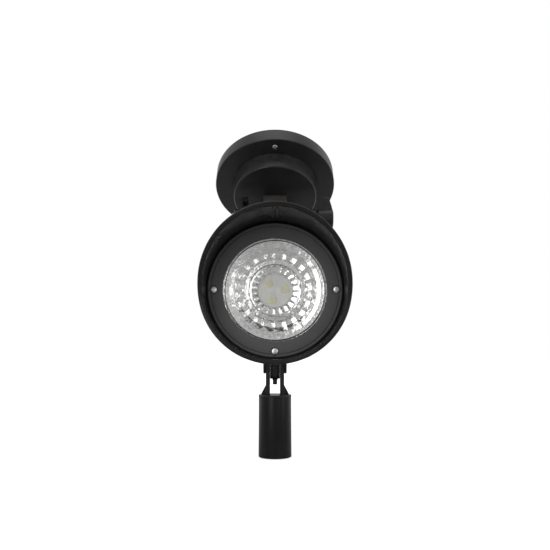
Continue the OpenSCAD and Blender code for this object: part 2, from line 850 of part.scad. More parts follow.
// The two-winged knob: a hub and a flat wing with rounded, narrower tips
module wing_knob() {
    tip_in = 2.5;
    tip_out = 2.4;
    tip_round = 2.4;
    groove_at = 4.7;
    groove_w = 0.9;
    groove_depth = 0.35;
    shoulder = 0.4 * knob_r;
    side = concat(
        [[0, 0], [0, shoulder]],
        shifted(arc(tip_round, 165, 90, 4), [tip_in + tip_round, knob_r - tip_round]),
        shifted(arc(tip_round, 90, 12, 4), [knob_len - tip_out - tip_round, knob_r - tip_round]),
        [[knob_len - 0.7, shoulder + 2], [knob_len, shoulder / 2], [knob_len, 0]]
    );
    color(soft_black)
        translate([knob_in, hinge_back, hinge_z])
            difference() {
                union() {
                    along_x(knob_hub_r, 0, knob_len);
                    for (s = [0, 180]) rotate([s, 0, 0])
                        translate([0, knob_wing_t / 2, 0]) rotate([90, 0, 0])
                            linear_extrude(knob_wing_t) polygon(side);
                }
                along_x(hinge_r + 0.3, -1, bolt_end - knob_in + 0.8);
                along_x(insert_r + seat_fit / 2, -1, insert_len + 0.2);
                for (s = [-1, 1])
                    translate([groove_at - groove_w / 2, s * knob_wing_t / 2 - groove_depth, -knob_r + 3.5])
                        cube([groove_w, 2 * groove_depth, 2 * knob_r - 7]);
            }
}

module knob_insert() {
    color([0.72, 0.62, 0.36])
        translate([knob_in, hinge_back, hinge_z])
            difference() {
                along_x(insert_r, 0, insert_len);
                along_x(hinge_r + run_fit, -1, insert_len + 1);
            }
}

// Panel

module hinge_lug() {
    flare_r = 6;
    flare_z = barrel_r - 1;
    half = barrel_len / 2;
    color(soft_black)
        panel_axis()
            difference() {
                union() {
                    along_x(barrel_r, -half, half);
                    translate([0, lug_shift + lug_depth / 2, 0]) rotate([90, 0, 0])
                        linear_extrude(lug_depth)
                            polygon(concat(
                                [[-half, 0], [half, 0], [half, flare_z]],
                                shifted(arc(flare_r, 270, 180, 6), [lug_w / 2 + flare_r, flare_z + flare_r]),
                                [[lug_w / 2, drum_z], [-lug_w / 2, drum_z]],
                                shifted(arc(flare_r, 0, -90, 6), [-lug_w / 2 - flare_r, flare_z + flare_r]),
                                [[-half, flare_z]]
                            ));
                }
                along_x(hinge_r + run_fit, -half - 1, half + 1);
                for (s = [-1, 1]) translate([s * lug_w / 4, lug_shift, drum_z - 9])
                    cylinder(r = m3_r + seat_fit / 2, h = 10, $fn = 32);
            }
}

module lug_screws() {
    color(steel)
        panel_axis()
            for (s = [-1, 1]) translate([s * lug_w / 4, lug_shift, drum_floor - 1])
                screw(m3_r, 8, 2.4, 1.2, $fn = 32);
}

module battery_drum() {
    color(soft_black)
        panel_axis()
            difference() {
                rotate_extrude()
                    polygon(concat(
                        [[0, drum_z]],
                        shifted(arc(drum_round, -90, 0, 4), [drum_r - drum_draft - drum_round, drum_z + drum_round]),
                        [[drum_r, tray_z], [0, tray_z]]
                    ));
                // The hollow goes round the screw bosses and the two posts under the circuit board
                difference() {
                    translate([0, 0, drum_floor]) cylinder(r = drum_in_r, h = drum_h);
                    for (a = drum_boss_angles) rotate([0, 0, a]) translate([drum_boss_at, 0, drum_z])
                        cylinder(r = drum_boss_r, h = 2 * drum_h, $fn = 48);
                    for (y = [board_y0 + post_inset, board_y1 - post_inset])
                        translate([board_x1 - post_inset, y, drum_z])
                            cylinder(r = board_post_r, h = board_z - drum_z, $fn = 32);
                }
                for (a = drum_boss_angles) rotate([0, 0, a]) translate([drum_boss_at, 0, tray_z - 8])
                    cylinder(d = pilot_d + seat_fit, h = 9, $fn = 32);
                for (s = [-1, 1]) translate([s * lug_w / 4, lug_shift, drum_z - 1]) {
                    cylinder(r = m3_r + seat_fit, h = drum_face + 2, $fn = 32);
                    translate([0, 0, drum_face]) cylinder(r = 2.4 + seat_fit, h = 3, $fn = 32);
                }
                translate([-slot_x - slot_w / 2, slot_y - slot_len / 2, drum_z - 1])
                    cube([slot_w, slot_len, drum_face + 2]);
            }
}

module drum_screws() {
    color(steel)
        panel_axis()
            for (a = drum_boss_angles) rotate([0, 0, a])
                translate([drum_boss_at, 0, tray_z + tray_floor])
                    screw(pilot_d / 2, 9, 2, 1.2, $fn = 32);
}

module panel_tray() {
    color(black)
        panel_axis()
            difference() {
                rotate_extrude()
                    polygon([
                        [0, tray_z], [tray_r - 0.4, tray_z], [tray_r, tray_z + 0.4],
                        [tray_r - tray_draft, rim_z], [tray_in_r, rim_z], [tray_in_r, plate_z],
                        [ledge_r, plate_z], [ledge_r, tray_z + tray_floor], [0, tray_z + tray_floor]
                    ]);
                // The opening over the drum leaves a tab for each drum screw
                difference() {
                    translate([0, 0, tray_z - 1]) cylinder(r = drum_in_r, h = tray_floor + 2);
                    for (a = drum_boss_angles) rotate([0, 0, a]) translate([drum_boss_at, 0, tray_z - 2])
                        cylinder(r = drum_tab_r, h = tray_floor + 4, $fn = 48);
                }
                for (a = drum_boss_angles) rotate([0, 0, a]) translate([drum_boss_at, 0, tray_z - 1])
                    cylinder(d = pilot_d + 2 * seat_fit, h = tray_floor + 2, $fn = 32);
                for (s = [-1, 1]) translate([0, s * tray_screw_r, tray_z - 1]) {
                    cylinder(d = pilot_d + 2 * seat_fit, h = tray_floor + 2, $fn = 32);
                    cylinder(r = 2.1, h = 1.8, $fn = 32);
                    translate([0, 0, 1 + tray_floor])
                        cylinder(r = screw_post_r + 0.2, h = tray_h, $fn = 32);
                }
            }
}

module tray_screws() {
    color(steel)
        panel_axis()
            for (s = [-1, 1]) translate([0, s * tray_screw_r, tray_z + 0.8]) rotate([180, 0, 0])
                screw(pilot_d / 2, tray_screw_len, 1.9, 1, $fn = 32);
}

module panel_rim() {
    color(black)
        panel_axis()
            rotate_extrude()
                polygon([
                    [tray_r - rim_w, sun_z - rim_lip], [tray_in_r + seat_fit, sun_z - rim_lip],
                    [tray_in_r + seat_fit, rim_z], [tray_r - tray_draft, rim_z],
                    [tray_r - tray_draft, sun_z - 0.6], [tray_r - tray_draft - 0.6, sun_z],
                    [tray_r - rim_w + 0.8, sun_z]
                ]);
}

module panel_cover() {
    color(clear)
        panel_axis()
            translate([0, 0, cover_z]) cylinder(r = cover_r, h = cover_t);
}

module panel_gasket() {
    color(soft_black)
        panel_axis()
            ring(cover_r, tray_r - rim_w - 1, plate_top, cover_z);
}

// The moulded plate that carries the cells, with two posts for the tray screws
module cell_plate() {
    color([0.16, 0.17, 0.19])
        panel_axis()
            difference() {
                union() {
                    translate([0, 0, plate_z]) cylinder(r = cover_r, h = plate_t);
                    for (s = [-1, 1]) translate([0, s * tray_screw_r, tray_z + tray_floor])
                        cylinder(r = screw_post_r, h = plate_z - tray_z - tray_floor + sink, $fn = 32);
                }
                for (s = [-1, 1]) translate([0, s * tray_screw_r, tray_z])
                    cylinder(d = pilot_d + seat_fit, h = tray_screw_len + 1.2, $fn = 32);
            }
}

cell_gap = 0.8;
cell_pitch = 2 * active_r / cell_rows;

module solar_cells() {
    color([0.07, 0.10, 0.22])
        panel_axis()
            for (i = [0:cell_rows - 1])
                intersection() {
                    translate([0, 0, plate_top]) cylinder(r = active_r, h = cells_t);
                    translate([-active_r, -active_r + i * cell_pitch + cell_gap / 2, plate_top])
                        cube([2 * active_r, cell_pitch - cell_gap, cells_t]);
                }
}

module cell_ribbons() {
    color(silver)
        panel_axis()
            for (s = [-1, 1], i = [0:cell_rows - 1])
                let (
                    y0 = -active_r + i * cell_pitch + cell_gap / 2,
                    edge = max(abs(y0), abs(y0 + cell_pitch - cell_gap)),
                    x = 0.42 * active_r
                )
                if (edge < sqrt(active_r * active_r - x * x))
                    translate([s * x - 0.7, y0, plate_top + cells_t])
                        cube([1.4, cell_pitch - cell_gap, 0.15]);
}

// Contents of the battery drum

module battery_holder() {
    color([0.15, 0.15, 0.16])
        panel_axis()
            difference() {
                translate([holder_x - holder_w / 2, -holder_len / 2, holder_z])
                    cube([holder_w, holder_len, holder_wall + holder_clear + cell_d / 2]);
                translate([holder_x, 0, cell_z]) rotate([90, 0, 0])
                    cylinder(d = cell_d + 2 * holder_clear, h = holder_len - 2 * holder_wall, center = true);
                translate([-lug_w / 4 - 4, lug_shift - 3.2, holder_z - 1]) cube([lug_w / 2 + 8, 6.4, holder_wall + 1.1]);
            }
}

module battery_cell() {
    color([0.20, 0.45, 0.62])
        panel_axis()
            translate([holder_x, 0, cell_z]) rotate([90, 0, 0])
                union() {
                    cylinder(d = cell_d, h = cell_len - 1, center = true);
                    cylinder(d = cell_cap_d, h = cell_len, center = true, $fn = 48);
                }
}

module battery_contacts() {
    color(steel)
        panel_axis()
            for (s = [-1, 1])
                translate([holder_x, s * (holder_len / 2 - holder_wall - contact_t / 2), cell_z])
                    cube([contact_w, contact_t, contact_h], center = true);
}

module circuit_board() {
    color(board_green)
        panel_axis()
            translate([board_x0, board_y0, board_z]) cube([board_x1 - board_x0, board_y1 - board_y0, board_t]);
}

// Chips by place and size, and round capacitors by place, radius and height
chips = [[[-12, 4, 0], [5, 6, 1.6]], [[-19, -10, 0], [6, 4, 2]]];
capacitors = [[[-10, -8, 0], 2.5, 5], [[-19, 8, 0], 3, 4]];

module board_parts() {
    color([0.12, 0.12, 0.13])
        panel_axis()
            translate([0, 0, board_z + board_t]) {
                for (c = chips) translate(c[0]) cube(c[1]);
                for (c = capacitors) translate(c[0]) cylinder(r = c[1], h = c[2], $fn = 48);
            }
}

module switch_body() {
    color([0.25, 0.25, 0.27])
        panel_axis()
            translate([-slot_x - switch_w / 2, slot_y - switch_len / 2, switch_z])
                cube([switch_w, switch_len, switch_h]);
}

module switch_slider() {
    y0 = slot_y - slider_travel / 2 - slider_len / 2;
    color([0.10, 0.10, 0.10])
        panel_axis() {
            translate([-slot_x - slot_w / 2 + 0.3, y0, drum_z + 0.8])
                cube([slot_w - 0.6, slider_len, drum_face - 0.8 + 0.3]);
            translate([-slot_x - slot_w / 2, y0 - 0.6, drum_floor + 0.1])
                cube([slot_w, slider_len + 1.2, slider_base_t - 0.1]);
        }
}

pole_tube();
fork_plug();
head_shell();
panel_yoke();
yoke_screws();
hood();
bezel_ring();
bezel_screws();
lens();
lens_gasket();
reflector();
led_optic();
led_board();
led_chips();
heat_spreader();
spreader_screws();
tilt_screw();
tilt_nut();
hinge_bolt();
knob_washer();
panel_tray();
panel_rim();
panel_cover();
panel_gasket();
cell_plate();
solar_cells();
cell_ribbons();
battery_drum();
drum_screws();
tray_screws();
hinge_lug();
lug_screws();
battery_cell();
battery_holder();
battery_contacts();
circuit_board();
board_parts();
switch_body();
switch_slider();
wing_knob();
knob_insert();
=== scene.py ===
import json
import math

import bmesh
import bpy
from mathutils import Matrix, Vector


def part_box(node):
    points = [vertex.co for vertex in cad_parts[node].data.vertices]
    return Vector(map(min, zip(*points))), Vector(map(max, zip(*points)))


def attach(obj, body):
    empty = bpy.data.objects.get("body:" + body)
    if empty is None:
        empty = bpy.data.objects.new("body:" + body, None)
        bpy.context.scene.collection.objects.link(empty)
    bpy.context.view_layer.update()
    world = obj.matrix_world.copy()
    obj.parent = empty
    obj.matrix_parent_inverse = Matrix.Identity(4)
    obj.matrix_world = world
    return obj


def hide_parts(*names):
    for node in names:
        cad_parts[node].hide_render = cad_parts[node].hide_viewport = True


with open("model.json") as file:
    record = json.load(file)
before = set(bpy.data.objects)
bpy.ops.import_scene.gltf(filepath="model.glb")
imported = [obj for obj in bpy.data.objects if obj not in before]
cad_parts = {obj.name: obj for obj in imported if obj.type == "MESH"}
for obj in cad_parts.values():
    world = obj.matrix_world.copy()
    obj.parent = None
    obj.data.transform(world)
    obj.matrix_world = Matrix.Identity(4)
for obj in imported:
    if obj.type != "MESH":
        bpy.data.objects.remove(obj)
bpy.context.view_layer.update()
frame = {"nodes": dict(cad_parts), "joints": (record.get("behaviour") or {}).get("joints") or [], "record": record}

mm = 0.001
mergeGap = 0.002 * mm


def rotated(angle, axis="Z"):
    return Matrix.Rotation(math.radians(angle), 4, axis)


def moved(x=0, y=0, z=0):
    return Matrix.Translation((x * mm, y * mm, z * mm))


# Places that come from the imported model

joints = {j["name"]: j for j in frame["joints"]}
pivot = Vector(joints["head_tilt"]["pos_m"])
hinge = Vector(joints["panel_tilt"]["pos_m"])
slideAxis = Vector(joints["switch_slide"]["axis"])
panelAngle = math.atan2(-slideAxis.z, slideAxis.y)
lensLow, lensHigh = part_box("lens")
lampZ = (lensLow.z + lensHigh.z) / 2
lampPlace = Matrix.Translation((0, 0, lampZ)) @ rotated(90, "X")
pivotPlace = Matrix.Translation(pivot)
hingePlace = Matrix.Translation((0, hinge.y, hinge.z))
panelPlace = hingePlace @ Matrix.Rotation(-panelAngle, 4, "X")


def reach(node):
    # a node's largest x, and its places behind, in front and on top, in millimetres
    low, high = (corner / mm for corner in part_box(node))
    return {"x": high.x, "back": -high.y, "front": -low.y, "high": high.z}


# Small helpers for modelling; profiles and outlines are in millimetres

def deselectAll():
    bpy.ops.object.select_all(action="DESELECT")


def pick(obj):
    deselectAll()
    obj.select_set(True)
    bpy.context.view_layer.objects.active = obj


def named(name):
    obj = bpy.context.active_object
    obj.name = name
    obj.data.name = name
    return obj


def editMode(select="SELECT"):
    bpy.ops.object.mode_set(mode="EDIT")
    bpy.ops.mesh.select_mode(type="VERT")
    bpy.ops.mesh.select_all(action=select)


def objectMode():
    bpy.ops.object.mode_set(mode="OBJECT")


def setDown(obj, place):
    # the place goes into the mesh and the object stays at the origin
    obj.matrix_world = place
    pick(obj)
    bpy.ops.object.transform_apply(location=True, rotation=True, scale=True)
    return obj


def addModifier(obj, kind, **settings):
    pick(obj)
    modifier = obj.modifiers.new(kind.title(), kind)
    for key, value in settings.items():
        setattr(modifier, key, value)
    bpy.ops.object.modifier_apply(modifier=modifier.name)
    return obj


def smooth(obj, angle=32):
    pick(obj)
    bpy.ops.object.shade_smooth_by_angle(angle=math.radians(angle))
    return obj


def roundEdges(obj, width, segments=2, angle=32):
    smooth(obj, angle)
    return addModifier(obj, "BEVEL", width=width * mm, segments=segments, limit_method="ANGLE",
                       angle_limit=math.radians(angle), harden_normals=True)


def cutOut(obj, *cutters):
    for cutter in cutters:
        addModifier(obj, "BOOLEAN", operation="DIFFERENCE", solver="EXACT", object=cutter)
        bpy.data.objects.remove(cutter, do_unlink=True)
    return obj


def join(name, objs):
    deselectAll()
    for obj in objs:
        obj.select_set(True)
    bpy.context.view_layer.objects.active = objs[0]
    if len(objs) > 1:
        bpy.ops.object.join()
    return named(name)


def copies(obj, places):
    # the piece is modelled once, and each copy has its own mesh
    made = []
    for place in places:
        other = obj.copy()
        other.data = obj.data.copy()
        bpy.context.scene.collection.objects.link(other)
        made.append(setDown(other, place))
    bpy.data.objects.remove(obj, do_unlink=True)
    return made


def around(circle, angles, base=Matrix.Identity(4)):
    return [base @ rotated(angle) @ moved(circle) for angle in angles]


def arc(centre, radius, start, end, count=6):
    # points along an arc, with its angles in degrees
    angles = [math.radians(start + (end - start) * i / count) for i in range(count + 1)]
    return [(centre[0] + radius * math.cos(a), centre[1] + radius * math.sin(a)) for a in angles]


def take(look, names):
    return [look[name] for name in names.split()]


def closed(points):
    return points + points[:1]


def drawLine(name, points):
    # one point is extruded along (x, z) points
    deselectAll()
    bpy.ops.mesh.primitive_circle_add(vertices=3, radius=mm)
    obj = named(name)
    editMode()
    bpy.ops.mesh.merge(type="CENTER")
    here = Vector((0, 0))
    for count, point in enumerate(points):
        step = (Vector(point) - here) * mm
        here = Vector(point)
        move = {"value": (step.x, 0, step.y)}
        if count:
            bpy.ops.mesh.extrude_region_move(TRANSFORM_OT_translate=move)
        else:
            bpy.ops.transform.translate(**move)
    return obj


def closeMesh():
    bpy.ops.mesh.select_all(action="SELECT")
    bpy.ops.mesh.remove_doubles(threshold=mergeGap)
    bpy.ops.mesh.normals_make_consistent(inside=False)
    objectMode()


def turned(name, profile, steps=144):
    # a line of (radius, height) points is spun about z
    obj = drawLine(name, profile)
    bpy.ops.mesh.select_all(action="SELECT")
    bpy.ops.mesh.spin(steps=steps, angle=math.radians(360), center=(0, 0, 0), axis=(0, 0, 1))
    closeMesh()
    return smooth(obj)


def plate(name, outline, depth):
    # an outline in the xz plane is filled and extruded to both sides of it
    obj = drawLine(name, closed(outline))
    bpy.ops.mesh.select_all(action="SELECT")
    bpy.ops.mesh.remove_doubles(threshold=mergeGap)
    bpy.ops.mesh.edge_face_add()
    bpy.ops.transform.translate(value=(0, -depth / 2 * mm, 0))
    bpy.ops.mesh.extrude_region_move(TRANSFORM_OT_translate={"value": (0, depth * mm, 0)})
    closeMesh()
    return obj


def rod(name, radius, low, high, steps=32):
    return turned(name, [(0, low), (radius, low), (radius, high), (0, high)], steps)


def sleeve(name, inner, outer, low, high, steps=32):
    return turned(name, closed([(inner, low), (outer, low), (outer, high), (inner, high)]), steps)


def bar(name, radius, start, end, place=Matrix.Identity(4)):
    # a round bar along x
    return setDown(setDown(rod(name, radius, start, end, 48), rotated(90, "Y")), place)


def block(name, low, high, edge=0.0, segments=2):
    # a box between two corners, with its edges rounded
    low, high = Vector(low), Vector(high)
    deselectAll()
    bpy.ops.mesh.primitive_cube_add(size=mm, location=(low + high) / 2 * mm, scale=high - low)
    obj = setDown(named(name), bpy.context.active_object.matrix_world.copy())
    return roundEdges(obj, edge, segments) if edge else obj


def moveRows(obj, rows):
    # each row is a list of point numbers and how far those points move along z
    pick(obj)
    editMode("DESELECT")
    points = bmesh.from_edit_mesh(obj.data).verts
    points.ensure_lookup_table()
    for numbers, rise in rows:
        for number in numbers:
            points[number].select = True
        bpy.ops.transform.translate(value=(0, 0, rise * mm))
        for number in numbers:
            points[number].select = False
    objectMode()


def bevelWhere(obj, wanted, width, segments):
    # only the edges with both ends in the wanted place are rounded
    pick(obj)
    editMode("DESELECT")
    bpy.ops.mesh.select_mode(type="EDGE")
    mesh = bmesh.from_edit_mesh(obj.data)
    for edge in mesh.edges:
        edge.select = all(wanted(vert.co / mm) for vert in edge.verts)
    bpy.ops.mesh.bevel(offset=width * mm, segments=segments, affect="EDGES")
    objectMode()
    return smooth(obj)


def leafOutline(radius, width, height):
    # round about the origin, and widening to a root at the height, which may lie below
    lean = math.degrees(math.atan2(abs(height), width) - math.acos(radius / math.hypot(width, height)))
    side = math.copysign(1, height)
    end = [(x, side * z) for x, z in arc((0, 0), radius, lean, -180 - lean, 20)]
    return [(width, height)] + end + [(-width, height)]


def leafPlate(name, leaf, centre):
    # a hinge leaf across x, its round end about the centre
    across = leaf["to"] - leaf["from"]
    obj = plate(name, leafOutline(leaf["radius"], leaf["width"], leaf["height"]), across)
    roundEdges(obj, leaf["edge"])
    middle = Vector((leaf["from"] + across / 2, 0, leaf.get("centre", 0))) * mm
    return setDown(obj, Matrix.Translation(centre + middle) @ rotated(90))


def mirrored(leaf):
    return leaf | {"from": -leaf["to"], "to": -leaf["from"]}


def crossScrew(name, look):
    # a pan head with a cross recess; its seat is at z = 0 and its shank runs down
    head, height, shank, length = take(look, "head height shank length")
    profile = [(0, -length), (shank - 0.3, -length), (shank, 0.4 - length), (shank, 0)]
    profile += [(head - 0.1, 0), (head, 0.1)]
    profile += [(head * x, height * (0.35 + 0.65 * z)) for x, z in arc((0, 0), 1, 0, 90)]
    obj = turned(name, profile, 40)
    wide, narrow = 0.6 * head, 0.16 * head
    for x, y in ((wide, narrow), (narrow, wide)):
        cutOut(obj, block("recess", (-x, -y, 0.4 * height), (x, y, 2 * height)))
    return smooth(obj, 25)


print("stage: shared surface effects")


# Nodes; a socket given as a value is linked, and anything else is set on the input itself

def setInputs(node, values):
    for key, value in values.items():
        if isinstance(value, bpy.types.NodeSocket):
            node.id_data.links.new(value, node.inputs[key])
        else:
            node.inputs[key].default_value = value
    return node


def addNode(tree, kind, values, **settings):
    node = tree.nodes.new("ShaderNode" + kind)
    for key, value in settings.items():
        setattr(node, key, value)
    return setInputs(node, values)


def mathNode(tree, operation, a, b=0, clamp=False):
    return addNode(tree, "Math", {0: a, 1: b}, operation=operation, use_clamp=clamp).outputs[0]


def noiseNode(tree, vector, scale, detail, roughness):
    values = {"Vector": vector, "Scale": scale, "Detail": detail, "Roughness": roughness}
    return addNode(tree, "TexNoise", values).outputs["Fac"]


def rangeNode(tree, value, low, high, toLow=0.0, toHigh=1.0):
    values = {"Value": value, "From Min": low, "From Max": high, "To Min": toLow, "To Max": toHigh}
    return addNode(tree, "MapRange", values).outputs[0]


def objectVector(tree):
    return tree.nodes.new("ShaderNodeTexCoord").outputs["Object"]


def blendColour(tree, mask, under, over):
    # a colour is a socket or three numbers
    under, over = ((*value, 1) if isinstance(value, tuple) else value for value in (under, over))
    return addNode(tree, "Mix", {"Factor": mask, 6: under, 7: over}, data_type="RGBA").outputs[2]


# Shared surface effects, each a node group

def newGroup(name, inputs, outputs):
    group = bpy.data.node_groups.new(name, "ShaderNodeTree")
    for label, value in inputs.items():
        socket = group.interface.new_socket(name=label, in_out="INPUT", socket_type="NodeSocketFloat")
        socket.default_value = value
    for label in outputs:
        group.interface.new_socket(name=label, in_out="OUTPUT", socket_type="NodeSocketFloat")
    return group, group.nodes.new("NodeGroupInput").outputs, group.nodes.new("NodeGroupOutput")


def buildGrain():
    # the fine spark-eroded grain of a mould, and the slow unevenness of its gloss
    group, given, result = newGroup(
        "mouldGrain", {"Grain Scale": 2600.0, "Patch Scale": 60.0}, ("Height", "Patches"))
    vector = objectVector(group)
    fine = noiseNode(group, vector, given["Grain Scale"], 2, 0.6)
    cells = addNode(group, "TexVoronoi", {"Vector": vector, "Scale": given["Grain Scale"]})
    pits = mathNode(group, "MULTIPLY", cells.outputs["Distance"], 0.5)
    patches = noiseNode(group, vector, given["Patch Scale"], 4, 0.6)
    setInputs(result, {"Height": mathNode(group, "ADD", fine, pits), "Patches": patches})
    return group


def buildEdgeWearAndSheen():
    # brighter, polished edges where hands and packing have rubbed; where a look raises it, as on the drum and
    # hood, it is a painted highlight along rounded rims
    group, given, result = newGroup("edgeWear", {"Start": 0.52, "Scale": 220.0}, ("Mask",))
    pointed = group.nodes.new("ShaderNodeNewGeometry").outputs["Pointiness"]
    over = mathNode(group, "SUBTRACT", pointed, given["Start"])
    edge = mathNode(group, "MULTIPLY", over, 14.0, clamp=True)
    broken = rangeNode(group, noiseNode(group, objectVector(group), given["Scale"], 4, 0.65), 0.35, 0.62)
    setInputs(result, {"Mask": mathNode(group, "MULTIPLY", edge, broken, clamp=True)})
    return group


def buildDust():
    # pale dust and finger marks in patches and specks
    group, given, result = newGroup("dustMarks", {"Patch Scale": 45.0, "Speck Scale": 900.0}, ("Mask",))
    vector = objectVector(group)
    patch = rangeNode(group, noiseNode(group, vector, given["Patch Scale"], 5, 0.7), 0.48, 0.75)
    speck = rangeNode(group, noiseNode(group, vector, given["Speck Scale"], 1, 0.5), 0.66, 0.74)
    shares = mathNode(group, "MULTIPLY", patch, 0.45), mathNode(group, "MULTIPLY", speck, 0.35)
    setInputs(result, {"Mask": mathNode(group, "MAXIMUM", *shares)})
    return group


grainGroup = buildGrain()
edgeWearAndSheenGroup = buildEdgeWearAndSheen()
dustGroup = buildDust()


# Materials; a piece's slot hood_plastic takes the material hoodPlastic

print("stage: materials")


def newMaterial(name):
    material = bpy.data.materials.new(name)
    material.use_nodes = True
    return material.node_tree, material.node_tree.nodes["Principled BSDF"]


def slotFinish(slot):
    first, *others = slot.split("_")
    return first + "".join(word.title() for word in others)


def paint(obj, finish):
    obj.data.materials.clear()
    obj.data.materials.append(bpy.data.materials[finish])


def addBump(shader, height, strength, distance):
    values = {"Strength": strength, "Distance": distance * mm, "Height": height}
    setInputs(shader, {"Normal": addNode(shader.id_data, "Bump", values).outputs[0]})


def wornAndSheenColour(tree, mask, look):
    # two close shades, then a little dust, then rubbed edges that also carry the painted rim highlight
    colour = blendColour(tree, mask, look["colour"], look["paler"])
    dust = addNode(tree, "Group", {}, node_tree=dustGroup)
    wear = addNode(tree, "Group", {"Start": look["wearStart"]}, node_tree=edgeWearAndSheenGroup)
    for effect, key in ((dust, "dust"), (wear, "wear")):
        share = mathNode(tree, "MULTIPLY", effect.outputs["Mask"], look[key])
        colour = blendColour(tree, share, colour, look[key + "Colour"])
    return colour


def mouldedPlastic(name, look):
    # black injection-moulded plastic: fine grain, uneven gloss, rubbed edges and a little dust
    tree, shader = newMaterial(name)
    grain = addNode(tree, "Group", {"Grain Scale": look["grainScale"]}, node_tree=grainGroup)
    patches = grain.outputs["Patches"]
    setInputs(shader, {
        "Base Color": wornAndSheenColour(tree, rangeNode(tree, patches, 0.3, 0.7), look),
        "Roughness": rangeNode(tree, patches, 0.3, 0.7, look["rough"] - 0.05, look["rough"] + 0.07),
        "Specular IOR Level": look["specular"]})
    addBump(shader, grain.outputs["Height"], look["bump"], 0.02)


def grey(level):
    return (level,) * 3


plasticLook = {
    "colour": grey(0.0055), "paler": grey(0.009), "rough": 0.36, "specular": 0.3, "grainScale": 2600.0,
    "bump": 0.25, "wearStart": 0.53, "wear": 0.2, "wearColour": grey(0.045), "dust": 0.10,
    "dustColour": (0.16, 0.15, 0.14),
}
plastics = {
    # the hood's raised edge colour is mostly a painted highlight along its rounded front rim
    "hoodPlastic": {"colour": grey(0.004), "paler": grey(0.007), "rough": 0.3, "wear": 0.3,
                    "wearColour": grey(0.075)},
    "shellPlastic": {"rough": 0.4},
    "bezelPlastic": {"colour": (0.078, 0.077, 0.079), "paler": (0.092, 0.090, 0.094), "rough": 0.6,
                     "bump": 0.45},
    "trayPlastic": {"colour": grey(0.008), "paler": grey(0.014), "rough": 0.42, "bump": 0.4},
    # the drum's raised edge colour is mostly a painted highlight along its rounded rim
    "drumPlastic": {"colour": grey(0.011), "paler": grey(0.016), "rough": 0.34, "wear": 0.22,
                    "wearColour": grey(0.08)},
    # lighter and warmer than the drum it is part of: painted light for the lit lug
    "lugPlastic": {"colour": (0.032, 0.029, 0.027), "paler": (0.044, 0.040, 0.037), "rough": 0.45},
    "knobPlastic": {"rough": 0.42, "wear": 0.25},
    "forkPlastic": {"rough": 0.44},
    "sliderPlastic": {"colour": grey(0.006), "paler": grey(0.010)},
    "backingPlastic": {"colour": (0.025, 0.025, 0.028), "paler": (0.035, 0.035, 0.038), "rough": 0.6,
                       "wear": 0.0},
    "sealRubber": {"colour": grey(0.014), "paler": grey(0.022), "rough": 0.75, "grainScale": 1500.0,
                   "wear": 0.0},
}
for plasticName, ownLook in plastics.items():
    mouldedPlastic(plasticName, plasticLook | ownLook)


def poleFinish(name, look):
    # satin black coat over drawn tube: fine lines along the length and a soft orange peel
    tree, shader = newMaterial(name)
    vector = objectVector(tree)
    drawn = addNode(tree, "Mapping", {"Vector": vector, "Scale": look["stretch"]}).outputs[0]
    lines = noiseNode(tree, drawn, look["lineScale"], 3, 0.6)
    peel = noiseNode(tree, vector, look["peelScale"], 2, 0.5)
    setInputs(shader, {
        "Base Color": wornAndSheenColour(tree, peel, look),
        "Roughness": rangeNode(tree, lines, 0.3, 0.7, look["rough"] - 0.04, look["rough"] + 0.05),
        "Specular IOR Level": look["specular"]})
    addBump(shader, mathNode(tree, "ADD", peel, mathNode(tree, "MULTIPLY", lines, 0.4)), look["bump"], 0.02)


poleFinish("poleMetal", plasticLook | {
    "colour": grey(0.004), "paler": grey(0.007), "rough": 0.3, "specular": 0.2, "bump": 0.12,
    "lineScale": 900.0, "peelScale": 380.0, "stretch": (1, 1, 0.02)})


def metalFinish(name, look):
    # bright metal with fine lines and a slow change of polish; a facet scale presses small flats into it
    tree, shader = newMaterial(name)
    vector = objectVector(tree)
    lines = noiseNode(tree, vector, look["lineScale"], 3, 0.6)
    stains = rangeNode(tree, noiseNode(tree, vector, look["stainScale"], 4, 0.65), 0.35, 0.7)
    setInputs(shader, {
        "Base Color": blendColour(tree, stains, look["colour"], look["stained"]),
        "Roughness": rangeNode(tree, lines, 0.3, 0.7, look["rough"] - 0.06, look["rough"] + 0.08),
        "Metallic": 1.0})
    if look["facetScale"]:
        flats = addNode(tree, "TexVoronoi", {"Vector": vector, "Scale": look["facetScale"]})
        addBump(shader, flats.outputs["Distance"], look["facetDepth"], 0.35)
    else:
        addBump(shader, lines, look["bump"], 0.01)


metalLook = {"colour": grey(0.72), "stained": (0.52, 0.52, 0.51), "rough": 0.30, "bump": 0.2,
             "lineScale": 1400.0, "stainScale": 160.0, "facetScale": 0}
metals = {
    "screwSteel": {},
    "washerSteel": {"colour": grey(0.04), "stained": grey(0.025), "rough": 0.4},
    "reflectorSilver": {"colour": (0.95, 0.94, 0.94), "stained": (0.74, 0.73, 0.73), "rough": 0.14,
                        "lineScale": 700.0, "stainScale": 420.0, "facetScale": 460.0, "facetDepth": 0.32},
    "spreaderAluminium": {"colour": (0.62, 0.63, 0.64), "rough": 0.42},
    "ribbonMetal": {"colour": grey(0.66), "rough": 0.34},
    "insertBrass": {"colour": (0.60, 0.43, 0.16), "stained": (0.40, 0.28, 0.12)},
}
for metalName, ownLook in metals.items():
    metalFinish(metalName, metalLook | ownLook)


